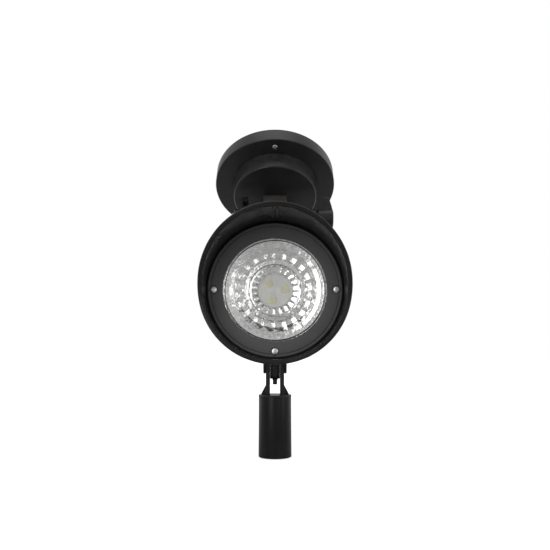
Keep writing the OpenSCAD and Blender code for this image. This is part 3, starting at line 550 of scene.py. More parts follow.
def clearPlastic(name, look):
    # clear moulding with faint flow marks; lamps reach what is behind it
    tree, shader = newMaterial(name)
    vector = objectVector(tree)
    haze = noiseNode(tree, vector, look["hazeScale"], 4, 0.6)
    setInputs(shader, {
        "Base Color": blendColour(tree, haze, look["colour"], look["hazy"]),
        "Roughness": rangeNode(tree, haze, 0.35, 0.75, 0.0, look["rough"]),
        "Transmission Weight": 1.0, "IOR": look["ior"]})
    addBump(shader, noiseNode(tree, vector, look["waveScale"], 2, 0.5), look["bump"], look["waveDepth"])
    shadow = tree.nodes.new("ShaderNodeLightPath").outputs["Is Shadow Ray"]
    through = tree.nodes.new("ShaderNodeBsdfTransparent").outputs[0]
    mix = addNode(tree, "MixShader", {0: shadow, 1: shader.outputs[0], 2: through})
    setInputs(tree.nodes["Material Output"], {"Surface": mix.outputs[0]})


clearLook = {"colour": (0.97, 0.975, 0.97), "hazy": (0.93, 0.935, 0.93), "ior": 1.49, "rough": 0.03,
             "bump": 0.05, "hazeScale": 40.0, "waveScale": 55.0, "waveDepth": 0.05}
clearPlastic("clearLens", clearLook)
clearPlastic("clearOptic", clearLook | {
    "colour": (0.98, 0.98, 0.97), "bump": 1.0, "waveScale": 300.0, "waveDepth": 0.5})
clearPlastic("clearCover", clearLook | {"colour": (0.94, 0.96, 0.97)})


def ledPhosphor(look):
    tree, shader = newMaterial("ledPhosphor")
    grains = noiseNode(tree, objectVector(tree), look["grainScale"], 3, 0.7)
    colour = blendColour(tree, grains, look["colour"], look["paler"])
    setInputs(shader, {"Base Color": colour, "Roughness": look["rough"]})
    addBump(shader, grains, 0.2, 0.02)


ledPhosphor({"colour": (0.84, 0.80, 0.50), "paler": (0.92, 0.90, 0.66), "grainScale": 2200.0, "rough": 0.45})


def paintedBoard(name, base, second, scale, rough):
    tree, shader = newMaterial(name)
    vector = objectVector(tree)
    mottle = noiseNode(tree, vector, scale, 3, 0.6)
    setInputs(shader, {"Base Color": blendColour(tree, mottle, base, second),
                       "Roughness": rangeNode(tree, mottle, 0.3, 0.7, rough - 0.05, rough + 0.08)})
    addBump(shader, noiseNode(tree, vector, 1200.0, 2, 0.5), 0.15, 0.02)


paintedBoard("whiteBoard", (0.88, 0.88, 0.86), (0.94, 0.94, 0.92), 300.0, 0.35)
paintedBoard("circuitGreen", (0.012, 0.085, 0.035), (0.02, 0.12, 0.05), 400.0, 0.35)
paintedBoard("batteryWrap", (0.04, 0.16, 0.30), (0.05, 0.19, 0.34), 80.0, 0.3)


def solarCell(look):
    # dark blue crystal with fine silver fingers across each strip
    tree, shader = newMaterial("solarCell")
    vector = objectVector(tree)
    crystals = addNode(tree, "TexVoronoi", {"Vector": vector, "Scale": look["crystalScale"]})
    split = addNode(tree, "SeparateColor", {0: crystals.outputs["Color"]}).outputs
    axes = addNode(tree, "SeparateXYZ", {0: vector})
    across = mathNode(tree, "MULTIPLY", axes.outputs["X"], 1 / (mm * look["fingerPitch"]))
    share = look["fingerWidth"] / look["fingerPitch"]
    finger = mathNode(tree, "LESS_THAN", mathNode(tree, "FRACT", across), share)
    colour = blendColour(tree, split[0], look["dark"], look["light"])
    setInputs(shader, {"Base Color": blendColour(tree, finger, colour, look["finger"]),
                       "Roughness": rangeNode(tree, split[1], 0, 1, 0.22, 0.36)})


solarCell({"dark": (0.006, 0.010, 0.035), "light": (0.014, 0.024, 0.080), "finger": (0.30, 0.32, 0.36),
           "crystalScale": 260.0, "fingerPitch": 2.0, "fingerWidth": 0.14})

# Every CAD piece gets its finish first; modelled pieces then take the place of those that show most
for part in frame["record"]["subparts"]:
    paint(frame["nodes"][part["node"]], slotFinish(part["material_slot"]))


def finishPiece(obj, body, slot, node, finish=None):
    paint(obj, finish or slotFinish(slot))
    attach(obj, body)
    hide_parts(node)


# Pole and fork

print("stage: pole and fork")
poleLook = {"bore": 10.0, "seat": 10.2, "socket": 26.5, "edge": 0.5}


def poleTube(look):
    size = reach("pole_tube")
    radius, length = size["x"], size["high"]
    edge, seat, socket, bore = take(look, "edge seat socket bore")
    profile = arc((radius - edge, edge), edge, -90, 0) + arc((radius - edge, length - edge), edge, 0, 90)
    profile += [(seat, length), (seat, socket), (bore, socket), (bore, 0)]
    return turned("poleTube", closed(profile), 96)


finishPiece(poleTube(poleLook), "pole", "pole_metal", "pole_tube")

forkLook = {
    "plug": 10.1, "plugLength": 16, "chamfer": 1.5, "flange": 1.4, "edge": 0.5,
    "arm": {"from": 3.65, "to": 6.65, "radius": 7, "width": 5.5, "height": -27.7, "edge": 0.4},
    "gussetReach": 10, "gussetHeight": 7, "gussetDepth": 4, "gussetFoot": 0.8, "bore": 2.05,
}


def forkPlug(look):
    pole = reach("pole_tube")
    radius, top, edge, arm = pole["x"], pole["high"], look["edge"], look["arm"]
    low, face, plug = top - look["plugLength"], top + look["flange"], look["plug"]
    profile = [(0, low), (plug - look["chamfer"], low), (plug, low + look["chamfer"]), (plug, top)]
    profile += [(radius, top)] + arc((radius - edge, face - edge), edge, 0, 90) + [(0, face)]
    parts = [turned("forkPlug", profile, 96)]
    for leaf in (arm, mirrored(arm)):
        parts.append(cutOut(leafPlate("forkArm", leaf, pivot), bar("bore", look["bore"], -9, 9, pivotPlace)))
    foot, tip, out, high = arm["to"] - 0.5, arm["to"], look["gussetReach"], look["gussetHeight"]
    outline = [(foot, 0), (out, 0), (out, look["gussetFoot"]), (tip, high), (foot, high)]
    gusset = roundEdges(plate("gusset", outline, look["gussetDepth"]), 0.2)
    parts += copies(gusset, around(0, (0, 180), moved(z=face)))
    return join("forkPlug", parts)


finishPiece(forkPlug(forkLook), "pole", "fork_plastic", "fork_plug")


# Lamp head: the shell with its cooling ribs, ears and tongue

print("stage: lamp head")
bezelAngles = (180, 270, 0)
bellLook = {"backRadius": 22, "backRound": 8, "backReach": 33, "collarBack": 32, "collar": 45.5, "steps": 14}
bellStart = bellLook["backRound"] - bellLook["backReach"]
bellLength = bellLook["collarBack"] - bellStart
shellLook = {
    "wall": 2.4, "collarFront": 44, "neck": 43.7, "mouth": 34.9, "flange": 4,
    "ribs": 6, "ribPitch": 13, "ribHeight": 2, "ribThickness": 1.6, "ribFade": 0.22, "bossBore": 1.4,
    "bossRadius": 3.1, "bossCircle": 41.1, "postBore": 1.55, "postRadius": 3.2, "postX": 16.5,
    "postBack": -30.4, "postFront": 34.2,
    "ear": {"from": 6.75, "to": 8.55, "radius": 7.5, "width": 10.5, "height": 24.6, "centre": -4.6,
            "edge": 0.35},
    "tongue": {"from": -2, "to": 2, "radius": 4, "width": 7, "height": 32.6, "centre": -12.6, "edge": 0.35},
    "web": {"from": -3.55, "to": 3.55, "radius": 3.2, "width": 6.2, "height": 31.8, "centre": -12.6,
            "edge": 0.12},
    "nubWidth": 3.2, "nubDepth": 4, "nubLow": 19.9, "nubHigh": 15.1, "bore": 2.05,
}


def bellRadius(forward):
    share = (forward - bellStart) / bellLength
    flare = bellLook["collar"] - bellLook["backRadius"]
    return bellLook["backRadius"] + flare * share * (0.86 + 0.14 * share)


def bellOutline(inset):
    # from the middle of the shell's flat end along its outer face to the collar, drawn in by the inset
    edge = bellLook["backRound"]
    line = [(0, inset - bellLook["backReach"])]
    line += arc((bellLook["backRadius"] - edge, bellStart), edge - inset, -90, 0)
    for step in range(1, bellLook["steps"] + 1):
        forward = bellStart + bellLength * step / bellLook["steps"]
        line.append((bellRadius(forward) - inset, forward))
    return line


def bellSolid(name, inset, front):
    radius = bellLook["collar"] - inset
    return setDown(turned(name, bellOutline(inset) + [(radius, front), (0, front)]), lampPlace)


def coolingRibs(look):
    top, bottom, fade = [], [], look["ribFade"]
    for step in range(bellLook["steps"] + 1):
        share = step / bellLook["steps"]
        forward = bellStart + bellLength * share
        rise = look["ribHeight"] * math.sin(math.pi / 2 * min(1, share / fade, (1 - share) / fade))
        top.append((bellRadius(forward) + rise - 0.3, forward))
        bottom.append((bellRadius(forward) - look["wall"] / 2, forward))
    rib = roundEdges(plate("coolingRib", top + bottom[::-1], look["ribThickness"]), 0.35)
    turns = [look["ribPitch"] * (i - (look["ribs"] - 1) / 2) for i in range(look["ribs"])]
    return copies(rib, around(0, [side + turn for side in (0, 180) for turn in turns], lampPlace))


def headShell(look):
    wall, neck, mouth, mouthZ = look["wall"], look["neck"], look["mouth"], reach("bezel_ring")["back"]
    collar, collarBack, flange = bellLook["collar"], bellLook["collarBack"], mouthZ - look["flange"]
    outside = bellOutline(0) + [(collar, look["collarFront"]), (neck, look["collarFront"])]
    outside += [(neck, mouthZ), (mouth, mouthZ), (mouth, flange)]
    inside = [(collar - wall, flange)] + bellOutline(wall)[::-1]
    parts = [setDown(turned("headShell", outside + inside), lampPlace)]
    for leaf in (look["ear"], mirrored(look["ear"]), look["tongue"], look["web"]):
        cutters = bellSolid("hollow", wall / 2, collarBack), bar("bore", look["bore"], -10, 10, pivotPlace)
        parts.append(cutOut(leafPlate("tiltLeaf", leaf, pivot), *cutters))
    wide, deep = look["nubWidth"] / 2, look["nubDepth"] / 2
    nub = block("stopNub", (-wide, -deep, -look["nubLow"]), (wide, deep, -look["nubHigh"]), 0.3)
    parts += [setDown(nub, pivotPlace)] + coolingRibs(look)
    boss = sleeve("screwBoss", look["bossBore"], look["bossRadius"], collarBack, flange)
    parts += copies(boss, around(look["bossCircle"], bezelAngles, lampPlace))
    post = sleeve("spreaderPost", look["postBore"], look["postRadius"], look["postBack"], look["postFront"])
    parts += copies(post, [lampPlace @ moved(x * look["postX"]) for x in (-1, 1)])
    return join("headShell", parts)


finishPiece(headShell(shellLook), "head", "shell_plastic", "head_shell")

yokeLook = {
    "saddle": 2.6, "rear": 11, "ahead": 12, "foot": 5, "outer": 30.5,
    "cheek": {"from": 21.5, "to": 30.5, "radius": 7.5, "width": 10, "height": -37.5, "edge": 0.8},
    "bore": 2.55, "boltHead": 4.8, "boltSeat": 29.3, "screws": (-7, 8), "screwHead": 2.8, "screwSink": 1,
}


def yokeSeat(forward):
    # where a screw's head sits on the saddle
    seat = bellRadius(forward) + yokeLook["saddle"] - yokeLook["screwSink"]
    return Matrix.Translation((0, -forward * mm, lampZ + seat * mm))


def panelYoke(look):
    outer, rows = look["outer"], [look["ahead"] - (look["ahead"] + look["rear"]) * i / 6 for i in range(7)]
    ring = [(bellRadius(z), z) for z in rows] + [(bellRadius(z) + look["saddle"], z) for z in rows[::-1]]
    saddle = turned("panelYoke", closed(ring))
    cuts = ((0, look["foot"], 0), (0, -1, 0)), ((outer, 0, 0), (1, 0, 0)), ((-outer, 0, 0), (-1, 0, 0))
    for place, normal in cuts:
        pick(saddle)
        editMode()
        bpy.ops.mesh.bisect(plane_co=Vector(place) * mm, plane_no=normal, use_fill=True, clear_outer=True)
        objectMode()
    saddle = setDown(roundEdges(saddle, 0.4), lampPlace)
    for forward in look["screws"]:
        cutOut(saddle, setDown(rod("hole", look["screwHead"], 0, 9), yokeSeat(forward)))
    cheeks = [leafPlate("cheek", leaf, hinge) for leaf in (look["cheek"], mirrored(look["cheek"]))]
    for cheek in cheeks:
        cutOut(cheek, bellSolid("bell", 0, 40), bar("bore", look["bore"], -40, 40, hingePlace))
    cutOut(cheeks[1], bar("headSeat", look["boltHead"], -40, -look["boltSeat"], hingePlace))
    return join("panelYoke", [saddle] + cheeks)


finishPiece(panelYoke(yokeLook), "head", "shell_plastic", "panel_yoke")


# Hood, bezel, lens and reflector

hoodLook = {
    "wall": 3, "low": 22.3, "mid": 23.7, "top": 49.6, "bendRadius": 40, "edgeOut": 0.9, "edgeIn": 0.6,
    "lipIn": 43.9, "lipBack": 44.05, "lipFront": 45.45, "ribX": 1.5, "ribWidth": 1.1, "ribHeight": 1.2,
    "ribLength": 27.8, "ribInset": 3.1, "steps": 180,
}


def hoodEdge(up, look, radius):
    # how far the slanted front reaches ahead of the bezel: a straight low edge, an arc and a sloping line
    slope = (look["top"] - look["mid"]) / radius
    bend, bendRadius = math.atan(slope), look["bendRadius"]
    knee = (look["low"] - look["mid"]) / slope - bendRadius * math.tan(bend / 2)
    if up < knee:
        return look["low"]
    if up < knee + bendRadius * math.sin(bend):
        return look["low"] + bendRadius - math.sqrt(bendRadius ** 2 - (up - knee) ** 2)
    return look["mid"] + slope * up


def hoodVisor(look):
    size, face = reach("hood"), reach("bezel_ring")["front"]
    radius, back, front = size["x"], size["back"], face + look["low"]
    inner, outEdge, inEdge = radius - look["wall"], look["edgeOut"], look["edgeIn"]
    profile = arc((radius - 0.5, back + 0.5), 0.5, -90, 0, 3)
    profile += arc((radius - outEdge, front - outEdge), outEdge, 0, 90, 5)
    profile += arc((inner + inEdge, front - inEdge), inEdge, 90, 180, 4) + [(inner, back)]
    visor = turned("hoodVisor", closed(profile), look["steps"])
    rows = {}
    for point in visor.data.vertices:
        if point.co.z / mm > front - 2:
            rows.setdefault(round(point.co.y / mm, 2), []).append(point.index)
    moveRows(visor, [(numbers, hoodEdge(up, look, radius) - look["low"]) for up, numbers in rows.items()])
    lip = sleeve("hoodLip", inner + 1, look["lipIn"], look["lipBack"], look["lipFront"], look["steps"])
    parts = [visor, lip]
    ahead, wide = face + look["top"] - look["ribInset"], look["ribWidth"] / 2
    behind, low = ahead - look["ribLength"], inner - look["ribHeight"]
    for x in (-look["ribX"], look["ribX"]):
        parts.append(block("browRib", (x - wide, low, behind), (x + wide, inner + 0.8, ahead), 0.25))
    return setDown(join("hoodVisor", [smooth(part) for part in parts]), lampPlace)


finishPiece(hoodVisor(hoodLook), "head", "hood_plastic", "hood")

bezelLook = {"seat": 37.4, "opening": 34.8, "lip": 1.4, "bead": 1.9, "groove": 0.6, "edge": 0.5,
             "screwCircle": 41.1, "screwSink": 0.7, "screwRecess": 2.8}


def bezelRing(look):
    size, seat, opening, edge = reach("bezel_ring"), look["seat"], look["opening"], look["edge"]
    radius, back, face = size["x"], size["back"], size["front"]
    beadIn, groove, lip = radius - look["bead"], face - look["groove"], face - look["lip"]
    bead = arc(((radius + beadIn) / 2 + 0.1, face - 0.75), 0.75, 60, 120, 4)
    profile = [(seat, back), (radius, back), (radius, face - 0.9)]
    profile += arc((radius - 0.6, face - 0.6), 0.6, 0, 60, 3) + bead[1:-1]
    profile += arc((beadIn + 0.9, face - 0.6), 0.6, 110, 180, 3)
    profile += [(beadIn + 0.2, groove), (beadIn - 0.3, groove), (beadIn - 0.45, face - 0.1)]
    profile += [(beadIn - 0.6, face)]
    profile += arc((opening + edge, face - edge), edge, 90, 180, 4) + [(opening, lip), (seat, lip)]
    ring = turned("bezelRing", closed(profile), 180)
    wide, sunk = look["screwRecess"], face - look["screwSink"]
    recess = turned("recess", [(0, sunk), (wide, sunk), (wide, face - 0.15), (wide + 0.25, face + 0.05),
                               (wide + 0.25, face + 2), (0, face + 2)], 40)
    cutOut(ring, *copies(recess, around(look["screwCircle"], bezelAngles)))
    return setDown(smooth(ring), lampPlace)


finishPiece(bezelRing(bezelLook), "head", "bezel_plastic", "bezel_ring")

screwLook = {"shank": 1.25, "length": 14.5, "head": 2.4, "height": 1.1, "twists": (20, 50, 72)}


def bezelScrews(look):
    out = moved(bezelLook["screwCircle"], 0, reach("bezel_ring")["front"] - bezelLook["screwSink"])
    turns = zip(bezelAngles, look["twists"])
    places = [lampPlace @ rotated(angle) @ out @ rotated(twist) for angle, twist in turns]
    return join("bezelScrews", copies(crossScrew("bezelScrews", look), places))


finishPiece(bezelScrews(screwLook), "head", "screw_steel", "bezel_screws")

frontLook = {"radius": 37.1, "step": 34.5, "back": 47.3, "flange": 48.5, "face": 49.4, "edge": 0.4}


def frontLens(look):
    edge, radius, step, face = take(look, "edge radius step face")
    profile = [(0, look["back"]), (radius, look["back"]), (radius, look["flange"]), (step, look["flange"])]
    profile += arc((step - edge, face - edge), edge, 0, 90, 5) + [(0, face)]
    return setDown(turned("frontLens", profile, 180), lampPlace)


finishPiece(frontLens(frontLook), "head", "clear_lens", "lens")

# Each ring of the reflector: its radius, its depth behind the flange and how far its facets are scooped
reflectorLook = {
    "rings": (
        (34.9, 0, 0), (33.8, 0.68, 0), (33.1, 0.31, 0), (30.6, 0.55, 0), (28.1, 1.14, 0.3), (27.8, 1.56, 0.3),
        (26.3, 2.1, 0.45), (24.9, 2.7, 0.55), (22.1, 3.22, 0.4), (21.4, 4.16, 0), (20.5, 3.22, 0),
        (17.8, 2.91, 0.12), (16.9, 4.47, 0), (16, 4.16, 0.2), (14.1, 4.47, 0.6), (12.1, 5.2, 0.3)),
    "facets": 20, "facetSteps": 8, "flange": 36.9, "front": 46.3, "back": 45.5, "thickness": 0.8, "crease": 9,
}


def reflectorBowl(look):
    front, back, flange, rings, steps = take(look, "front back flange rings facetSteps")
    hole, floor = rings[-1][0], front - rings[-1][1]
    behind = [(hole, floor - look["thickness"]), (hole + 3, floor - 1), (19, floor - 0.4)]
    behind += [(34.4, front - 2.2), (34.6, back), (flange, back), (flange, front)]
    profile = [(radius, front - depth) for radius, depth, scoop in rings] + behind
    bowl = turned("reflectorBowl", closed(profile), look["facets"] * steps)
    facet = 2 * math.pi / look["facets"]
    rows = {}
    for point in bowl.data.vertices:
        radius = math.hypot(point.co.x, point.co.y) / mm
        for ring, (ringRadius, depth, scoop) in enumerate(rings):
            if scoop and abs(radius - ringRadius) < 0.05 and abs(point.co.z / mm - front + depth) < 0.05:
                phase = round(math.atan2(point.co.y, point.co.x) % facet / facet * steps)
                rows.setdefault((ring, phase % steps), []).append(point.index)
    moveRows(bowl, [(numbers, -rings[ring][2] * math.sin(math.pi * phase / steps))
                    for (ring, phase), numbers in rows.items() if phase])
    return setDown(smooth(bowl, look["crease"]), lampPlace)


finishPiece(reflectorBowl(reflectorLook), "head", "reflector_silver", "reflector")

opticLook = {"foot": 39.3, "radius": 11.8, "shoulder": 41.7, "rim": 42.7, "dome": 9.6, "top": 43.5,
             "grooves": 8, "grooveDepth": 0.22, "grooveWidth": 0.12, "hollow": 40.7, "wall": 1,
             "slant": 1.2}


def ledOptic(look):
    radius, rim, foot, hollow = take(look, "radius rim foot hollow")
    inner, dome, grooves = radius - look["wall"], look["dome"], look["grooves"]
    profile = [(0, hollow), (inner, hollow), (inner, foot), (radius, foot), (radius, look["shoulder"])]
    profile += [(radius - look["slant"], rim), (dome, rim)]
    for step in range(1, grooves):
        out, height = dome * (1 - step / grooves), math.sin(math.pi / 2 * (step / grooves))
        height = rim + (look["top"] - rim) * height
        profile += [(out, height - look["grooveDepth"]), (out - look["grooveWidth"], height)]
    return setDown(smooth(turned("ledOptic", profile + [(0, look["top"])], 96), 15), lampPlace)


finishPiece(ledOptic(opticLook), "head", "clear_optic", "led_optic")


# Fasteners of the two hinges

hardwareLook = {
    "tiltShank": 2, "tiltHead": 3.6, "tiltHeadHeight": 2.6, "tiltSeat": 8.55, "nutHeight": 3.2,
    "boltRadius": 2.5, "boltHead": 4.4, "boltHeadHeight": 3, "boltSeat": 29.3, "boltEnd": 40.3,
    "washer": 6.2, "washerFrom": 30.5, "washerBore": 2.6, "washerThickness": 1, "washerEdge": 0.2,
}


def hexHead(name, radius, height, bore=0.0):
    # six flats, with both corners turned down; its seat is at z = 0
    deselectAll()
    bpy.ops.mesh.primitive_cylinder_add(vertices=6, radius=radius * mm, depth=height * mm)
    piece = setDown(named(name), moved(z=height / 2))
    low, chamfer, wide = 0.24 * height, 0.86 * radius, radius + 0.05
    profile = [(0, 0), (chamfer, 0), (wide, low), (wide, height - low), (chamfer, height), (0, height)]
    blank = turned("blank", profile, 72)
    addModifier(piece, "BOOLEAN", operation="INTERSECT", solver="EXACT", object=blank)
    bpy.data.objects.remove(blank, do_unlink=True)
    if bore:
        cutOut(piece, rod("bore", bore, -1, height + 1))
    return smooth(piece, 20)


def alongX(x, towards=1):
    return moved(x) @ rotated(90 * towards, "Y")


def tiltScrew(look):
    own = {"shank": look["tiltShank"], "head": look["tiltHead"], "height": look["tiltHeadHeight"],
           "length": look["tiltSeat"] * 2 + look["nutHeight"] + 0.6}
    return setDown(crossScrew("tiltScrew", own), pivotPlace @ alongX(-look["tiltSeat"], -1))


def tiltNut(look):
    nut = hexHead("tiltNut", look["tiltHead"], look["nutHeight"], look["tiltShank"] + 0.05)
    return setDown(nut, pivotPlace @ alongX(look["tiltSeat"]))


def hingeBolt(look):
    radius, seat, end = take(look, "boltRadius boltSeat boltEnd")
    head = setDown(hexHead("hingeBolt", look["boltHead"], look["boltHeadHeight"]), alongX(-seat, -1))
    profile = [(0, -seat), (radius, -seat), (radius, end - 0.6), (radius - 0.6, end), (0, end)]
    shaft = setDown(turned("boltShaft", profile, 48), alongX(0))
    return setDown(join("hingeBolt", [head, shaft]), hingePlace)


def knobWasher(look):
    edge, bore, start = take(look, "washerEdge washerBore washerFrom")
    out, end = look["washer"] - edge, start + look["washerThickness"]
    profile = [(bore, start)] + arc((out, start + edge), edge, -90, 0, 2)
    profile += arc((out, end - edge), edge, 0, 90, 2) + [(bore, end)]
    return setDown(turned("knobWasher", closed(profile), 72), hingePlace @ alongX(0))


finishPiece(tiltScrew(hardwareLook), "head", "screw_steel", "tilt_screw")
finishPiece(tiltNut(hardwareLook), "head", "screw_steel", "tilt_nut")
finishPiece(hingeBolt(hardwareLook), "head", "screw_steel", "hinge_bolt")
finishPiece(knobWasher(hardwareLook), "head", "screw_steel", "knob_washer", "washerSteel")


def yokeScrews(look):
    places = [yokeSeat(forward) @ Matrix.Rotation(forward, 4, "Z") for forward in yokeLook["screws"]]
    return join("yokeScrews", copies(crossScrew("yokeScrews", look), places))


yokeScrewLook = {"shank": 1.5, "length": 9, "head": 2.7, "height": 1.8}
finishPiece(yokeScrews(yokeScrewLook), "head", "screw_steel", "yoke_screws")


# Solar panel

print("stage: solar panel")
trayLook = {
    "radius": 46.6, "underside": 35.6, "rimFrom": 46.7, "draft": 0.2, "inner": 44, "ledge": 41, "plate": 42.7,
    "floorTop": 38, "opening": 29.8, "edge": 0.7, "screwCircle": 39.4, "recess": 2.1, "recessDepth": 0.8,
    "rimWidth": 4, "rimTop": 48.3, "lip": 1, "rimEdge": 0.9,
}


def panelTray(look):
    edge, low, radius, rim = take(look, "edge underside radius rimFrom")
    inner, ledge, seat, floor = take(look, "inner ledge plate floorTop")
    profile = [(look["opening"], low)] + arc((radius - edge, low + edge), edge, -90, 0, 5)
    profile += [(radius - look["draft"], rim - 0.15), (radius - look["draft"] - 0.15, rim), (inner, rim)]
    profile += [(inner, seat), (ledge, seat), (ledge, floor), (look["opening"], floor)]
    tray = turned("panelTray", closed(profile), 180)
    wide, deep = look["recess"], low + look["recessDepth"]
    recess = turned("recess", [(0, low - 1), (wide + 0.3, low - 1), (wide + 0.3, low), (wide, low + 0.25),
                               (wide, deep), (0, deep)], 40)
    cutOut(tray, *copies(recess, [moved(y=y * look["screwCircle"]) for y in (-1, 1)]))
    return setDown(smooth(tray), panelPlace)


def panelRim(look):
    outer, top, edge = look["radius"] - look["draft"], look["rimTop"], look["rimEdge"]
    inner, seat, low = look["radius"] - look["rimWidth"], look["inner"] + 0.1, look["rimFrom"]
    profile = [(inner, top - look["lip"]), (seat, top - look["lip"]), (seat, low)]
    profile += [(outer - 0.15, low), (outer, low + 0.15)]
    profile += arc((outer - edge, top - edge), edge, 0, 90, 4)
    profile += arc((inner + edge, top - edge), edge, 90, 180, 4)
    return setDown(turned("panelRim", closed(profile), 180), panelPlace)


finishPiece(panelTray(trayLook), "panel", "tray_plastic", "panel_tray")
finishPiece(panelRim(trayLook), "panel", "tray_plastic", "panel_rim")


def trayScrews(look):
    # the twist is in radians
    circle, seat = trayLook["screwCircle"], trayLook["underside"] + trayLook["recessDepth"]
    places = [panelPlace @ moved(0, y * circle, seat) @ rotated(180, "X")
              @ Matrix.Rotation(y * look["twist"], 4, "Z") for y in (-1, 1)]
    return join("trayScrews", copies(crossScrew("trayScrews", look), places))


trayScrewLook = {"shank": 1.1, "length": 5, "head": 1.9, "height": 1, "twist": 0.9}
finishPiece(trayScrews(trayScrewLook), "panel", "screw_steel", "tray_screws")


# Battery drum, its lug and the switch

drumLook = {
    "radius": 33.5, "draft": 1.5, "face": 22.5, "top": 35.6, "round": 1.2, "wall": 2.2, "faceThickness": 2.6,
    "slotX": 23, "slotY": 3.4, "slotWidth": 4.6, "slotLength": 9.6, "bossCircle": 27.6, "bossRadius": 2.6,
    "bossBore": 1.15, "bossAngles": (110, 230, 350),
}


def batteryDrum(look):
    face, top, edge = take(look, "face top round")
    outer = look["radius"] - look["draft"]
    inner, floor = outer - look["wall"], face + look["faceThickness"]
    profile = [(0, face)] + arc((outer - edge, face + edge), edge, -90, 0, 5)
    profile += [(look["radius"], top), (inner, top), (inner, floor), (0, floor)]
    drum = turned("batteryDrum", profile, 180)
    x, y, wide, long = -look["slotX"], look["slotY"], look["slotWidth"] / 2, look["slotLength"] / 2
    cutOut(drum, block("slot", (x - wide, y - long, face - 2), (x + wide, y + long, floor + 1), 0.7, 4))

    def slotRim(place):
        return abs(place.z - face) < 0.05 and abs(place.x - x) < wide + 0.1 and abs(place.y - y) < long + 0.1

    bevelWhere(drum, slotRim, 0.35, 3)
    boss = sleeve("boss", look["bossBore"], look["bossRadius"], floor - 0.2, top)
    bosses = copies(boss, around(look["bossCircle"], look["bossAngles"]))
    return setDown(join("batteryDrum", [smooth(drum)] + bosses), panelPlace)


finishPiece(batteryDrum(drumLook), "panel", "drum_plastic", "battery_drum")

lugLook = {"barrel": 6.8, "half": 21.2, "width": 18, "depth": 10.6, "shift": 1.5, "flare": 6, "bore": 2.55,
           "edge": 0.6, "barrelEdge": 0.5}


def hingeLug(look):
    half, wide, flare, barrel = look["half"], look["width"] / 2, look["flare"], look["barrel"]
    start, top, edge = barrel - 1, drumLook["face"], look["barrelEdge"]
    right = [(half, 0), (half, start)] + arc((wide + flare, start + flare), flare, 270, 180, 8)
    right.append((wide, top))
    outline = right + [(-x, z) for x, z in right[::-1]]
    web = roundEdges(plate("hingeLug", outline, look["depth"]), look["edge"], 3)
    side = arc((barrel - edge, edge - half), edge, -90, 0, 3)
    side += arc((barrel - edge, half - edge), edge, 0, 90, 3)
    cylinder = turned("barrel", [(0, -half)] + side + [(0, half)], 72)
    parts = [setDown(web, moved(y=look["shift"])), setDown(cylinder, alongX(0))]
    for part in parts:
        cutOut(part, bar("bore", look["bore"], -half - 1, half + 1))
    return setDown(join("hingeLug", parts), panelPlace)


# the lug keeps the drum's slot but takes a lighter finish, painted light on the lug
finishPiece(hingeLug(lugLook), "panel", "drum_plastic", "hinge_lug", "lugPlastic")

sliderLook = {"travel": 4, "width": 4, "base": 4.6, "thumb": 23.3, "baseFrom": 25.2, "baseTo": 26.1,
              "ridges": 3}


def switchSlider(look):
    length = drumLook["slotLength"] - look["travel"] - 0.6
    x, y = -drumLook["slotX"], drumLook["slotY"] - look["travel"] / 2 - length / 2
    wide, base, thumb, low = look["width"] / 2, look["base"] / 2, look["thumb"], look["baseFrom"]
    parts = [block("switchSlider", (x - wide, y, thumb + 0.45), (x + wide, y + length, low + 0.2), 0.2),
             block("sliderBase", (x - base, y - 0.6, low), (x + base, y + length + 0.6, look["baseTo"]), 0.1)]
    for ridge in range(look["ridges"]):
        at, side = y + length * (ridge + 1) / (look["ridges"] + 1), wide - 0.2
        parts.append(block("ridge", (x - side, at - 0.4, thumb), (x + side, at + 0.4, thumb + 0.8), 0.25))
    return setDown(join("switchSlider", parts), panelPlace)


finishPiece(switchSlider(sliderLook), "slider", "slider_plastic", "switch_slider")


# Hand knob

knobLook = {
    "from": 31.7, "length": 11.8, "hub": 7.2, "reach": 16.4, "wing": 6, "tipIn": 2.5, "tipOut": 2.4,
    "tipRound": 2.4, "grooveAt": 4.7, "grooveWidth": 0.9, "grooveDepth": 0.35, "insert": 4.15,
    "insertLength": 6.2, "shaft": 2.8, "shaftDepth": 9.4, "edge": 0.9,
}


def wingKnob(look):
    length, out, tip, edge = take(look, "length reach tipRound edge")
    hubIn, foot, shoulder = look["hub"] - edge, look["insert"] + 0.4, 0.4 * out
    outline = [(0, foot), (0, shoulder)] + arc((look["tipIn"] + tip, out - tip), tip, 165, 90, 5)
    outline += arc((length - look["tipOut"] - tip, out - tip), tip, 90, 12, 5)
    outline += [(length - 0.7, shoulder + 2), (length, foot)]
    wing = roundEdges(plate("wing", outline, look["wing"]), edge, 3, 40)
    wings = copies(wing, [Matrix.Identity(4), rotated(180, "X")])
    side = arc((hubIn, edge), edge, -90, 0, 4) + arc((hubIn, length - edge), edge, 0, 90, 4)
    hub = setDown(turned("wingKnob", [(0, 0)] + side + [(0, length)], 72), alongX(0))
    cutOut(hub, bar("shaftHole", look["shaft"], -1, look["shaftDepth"]),
           bar("seat", look["insert"], -1, look["insertLength"]))
    at, wide, deep, end = look["grooveAt"], look["grooveWidth"] / 2, look["grooveDepth"], out - 3.5
    for part in wings:
        for y in (-look["wing"] / 2, look["wing"] / 2):
            cutOut(part, block("groove", (at - wide, y - deep, -end), (at + wide, y + deep, end)))
    return setDown(join("wingKnob", [hub] + wings), hingePlace @ moved(look["from"]))


finishPiece(wingKnob(knobLook), "knob", "knob_plastic", "wing_knob")


# Camera, floor and lights

print("stage: camera, floor and lights")
cameraLook = {"place": (0, -468.6, 81.1), "pitch": 6.2, "focalPixels": 631.9, "framePixels": 550,
              "sensor": 36.0}


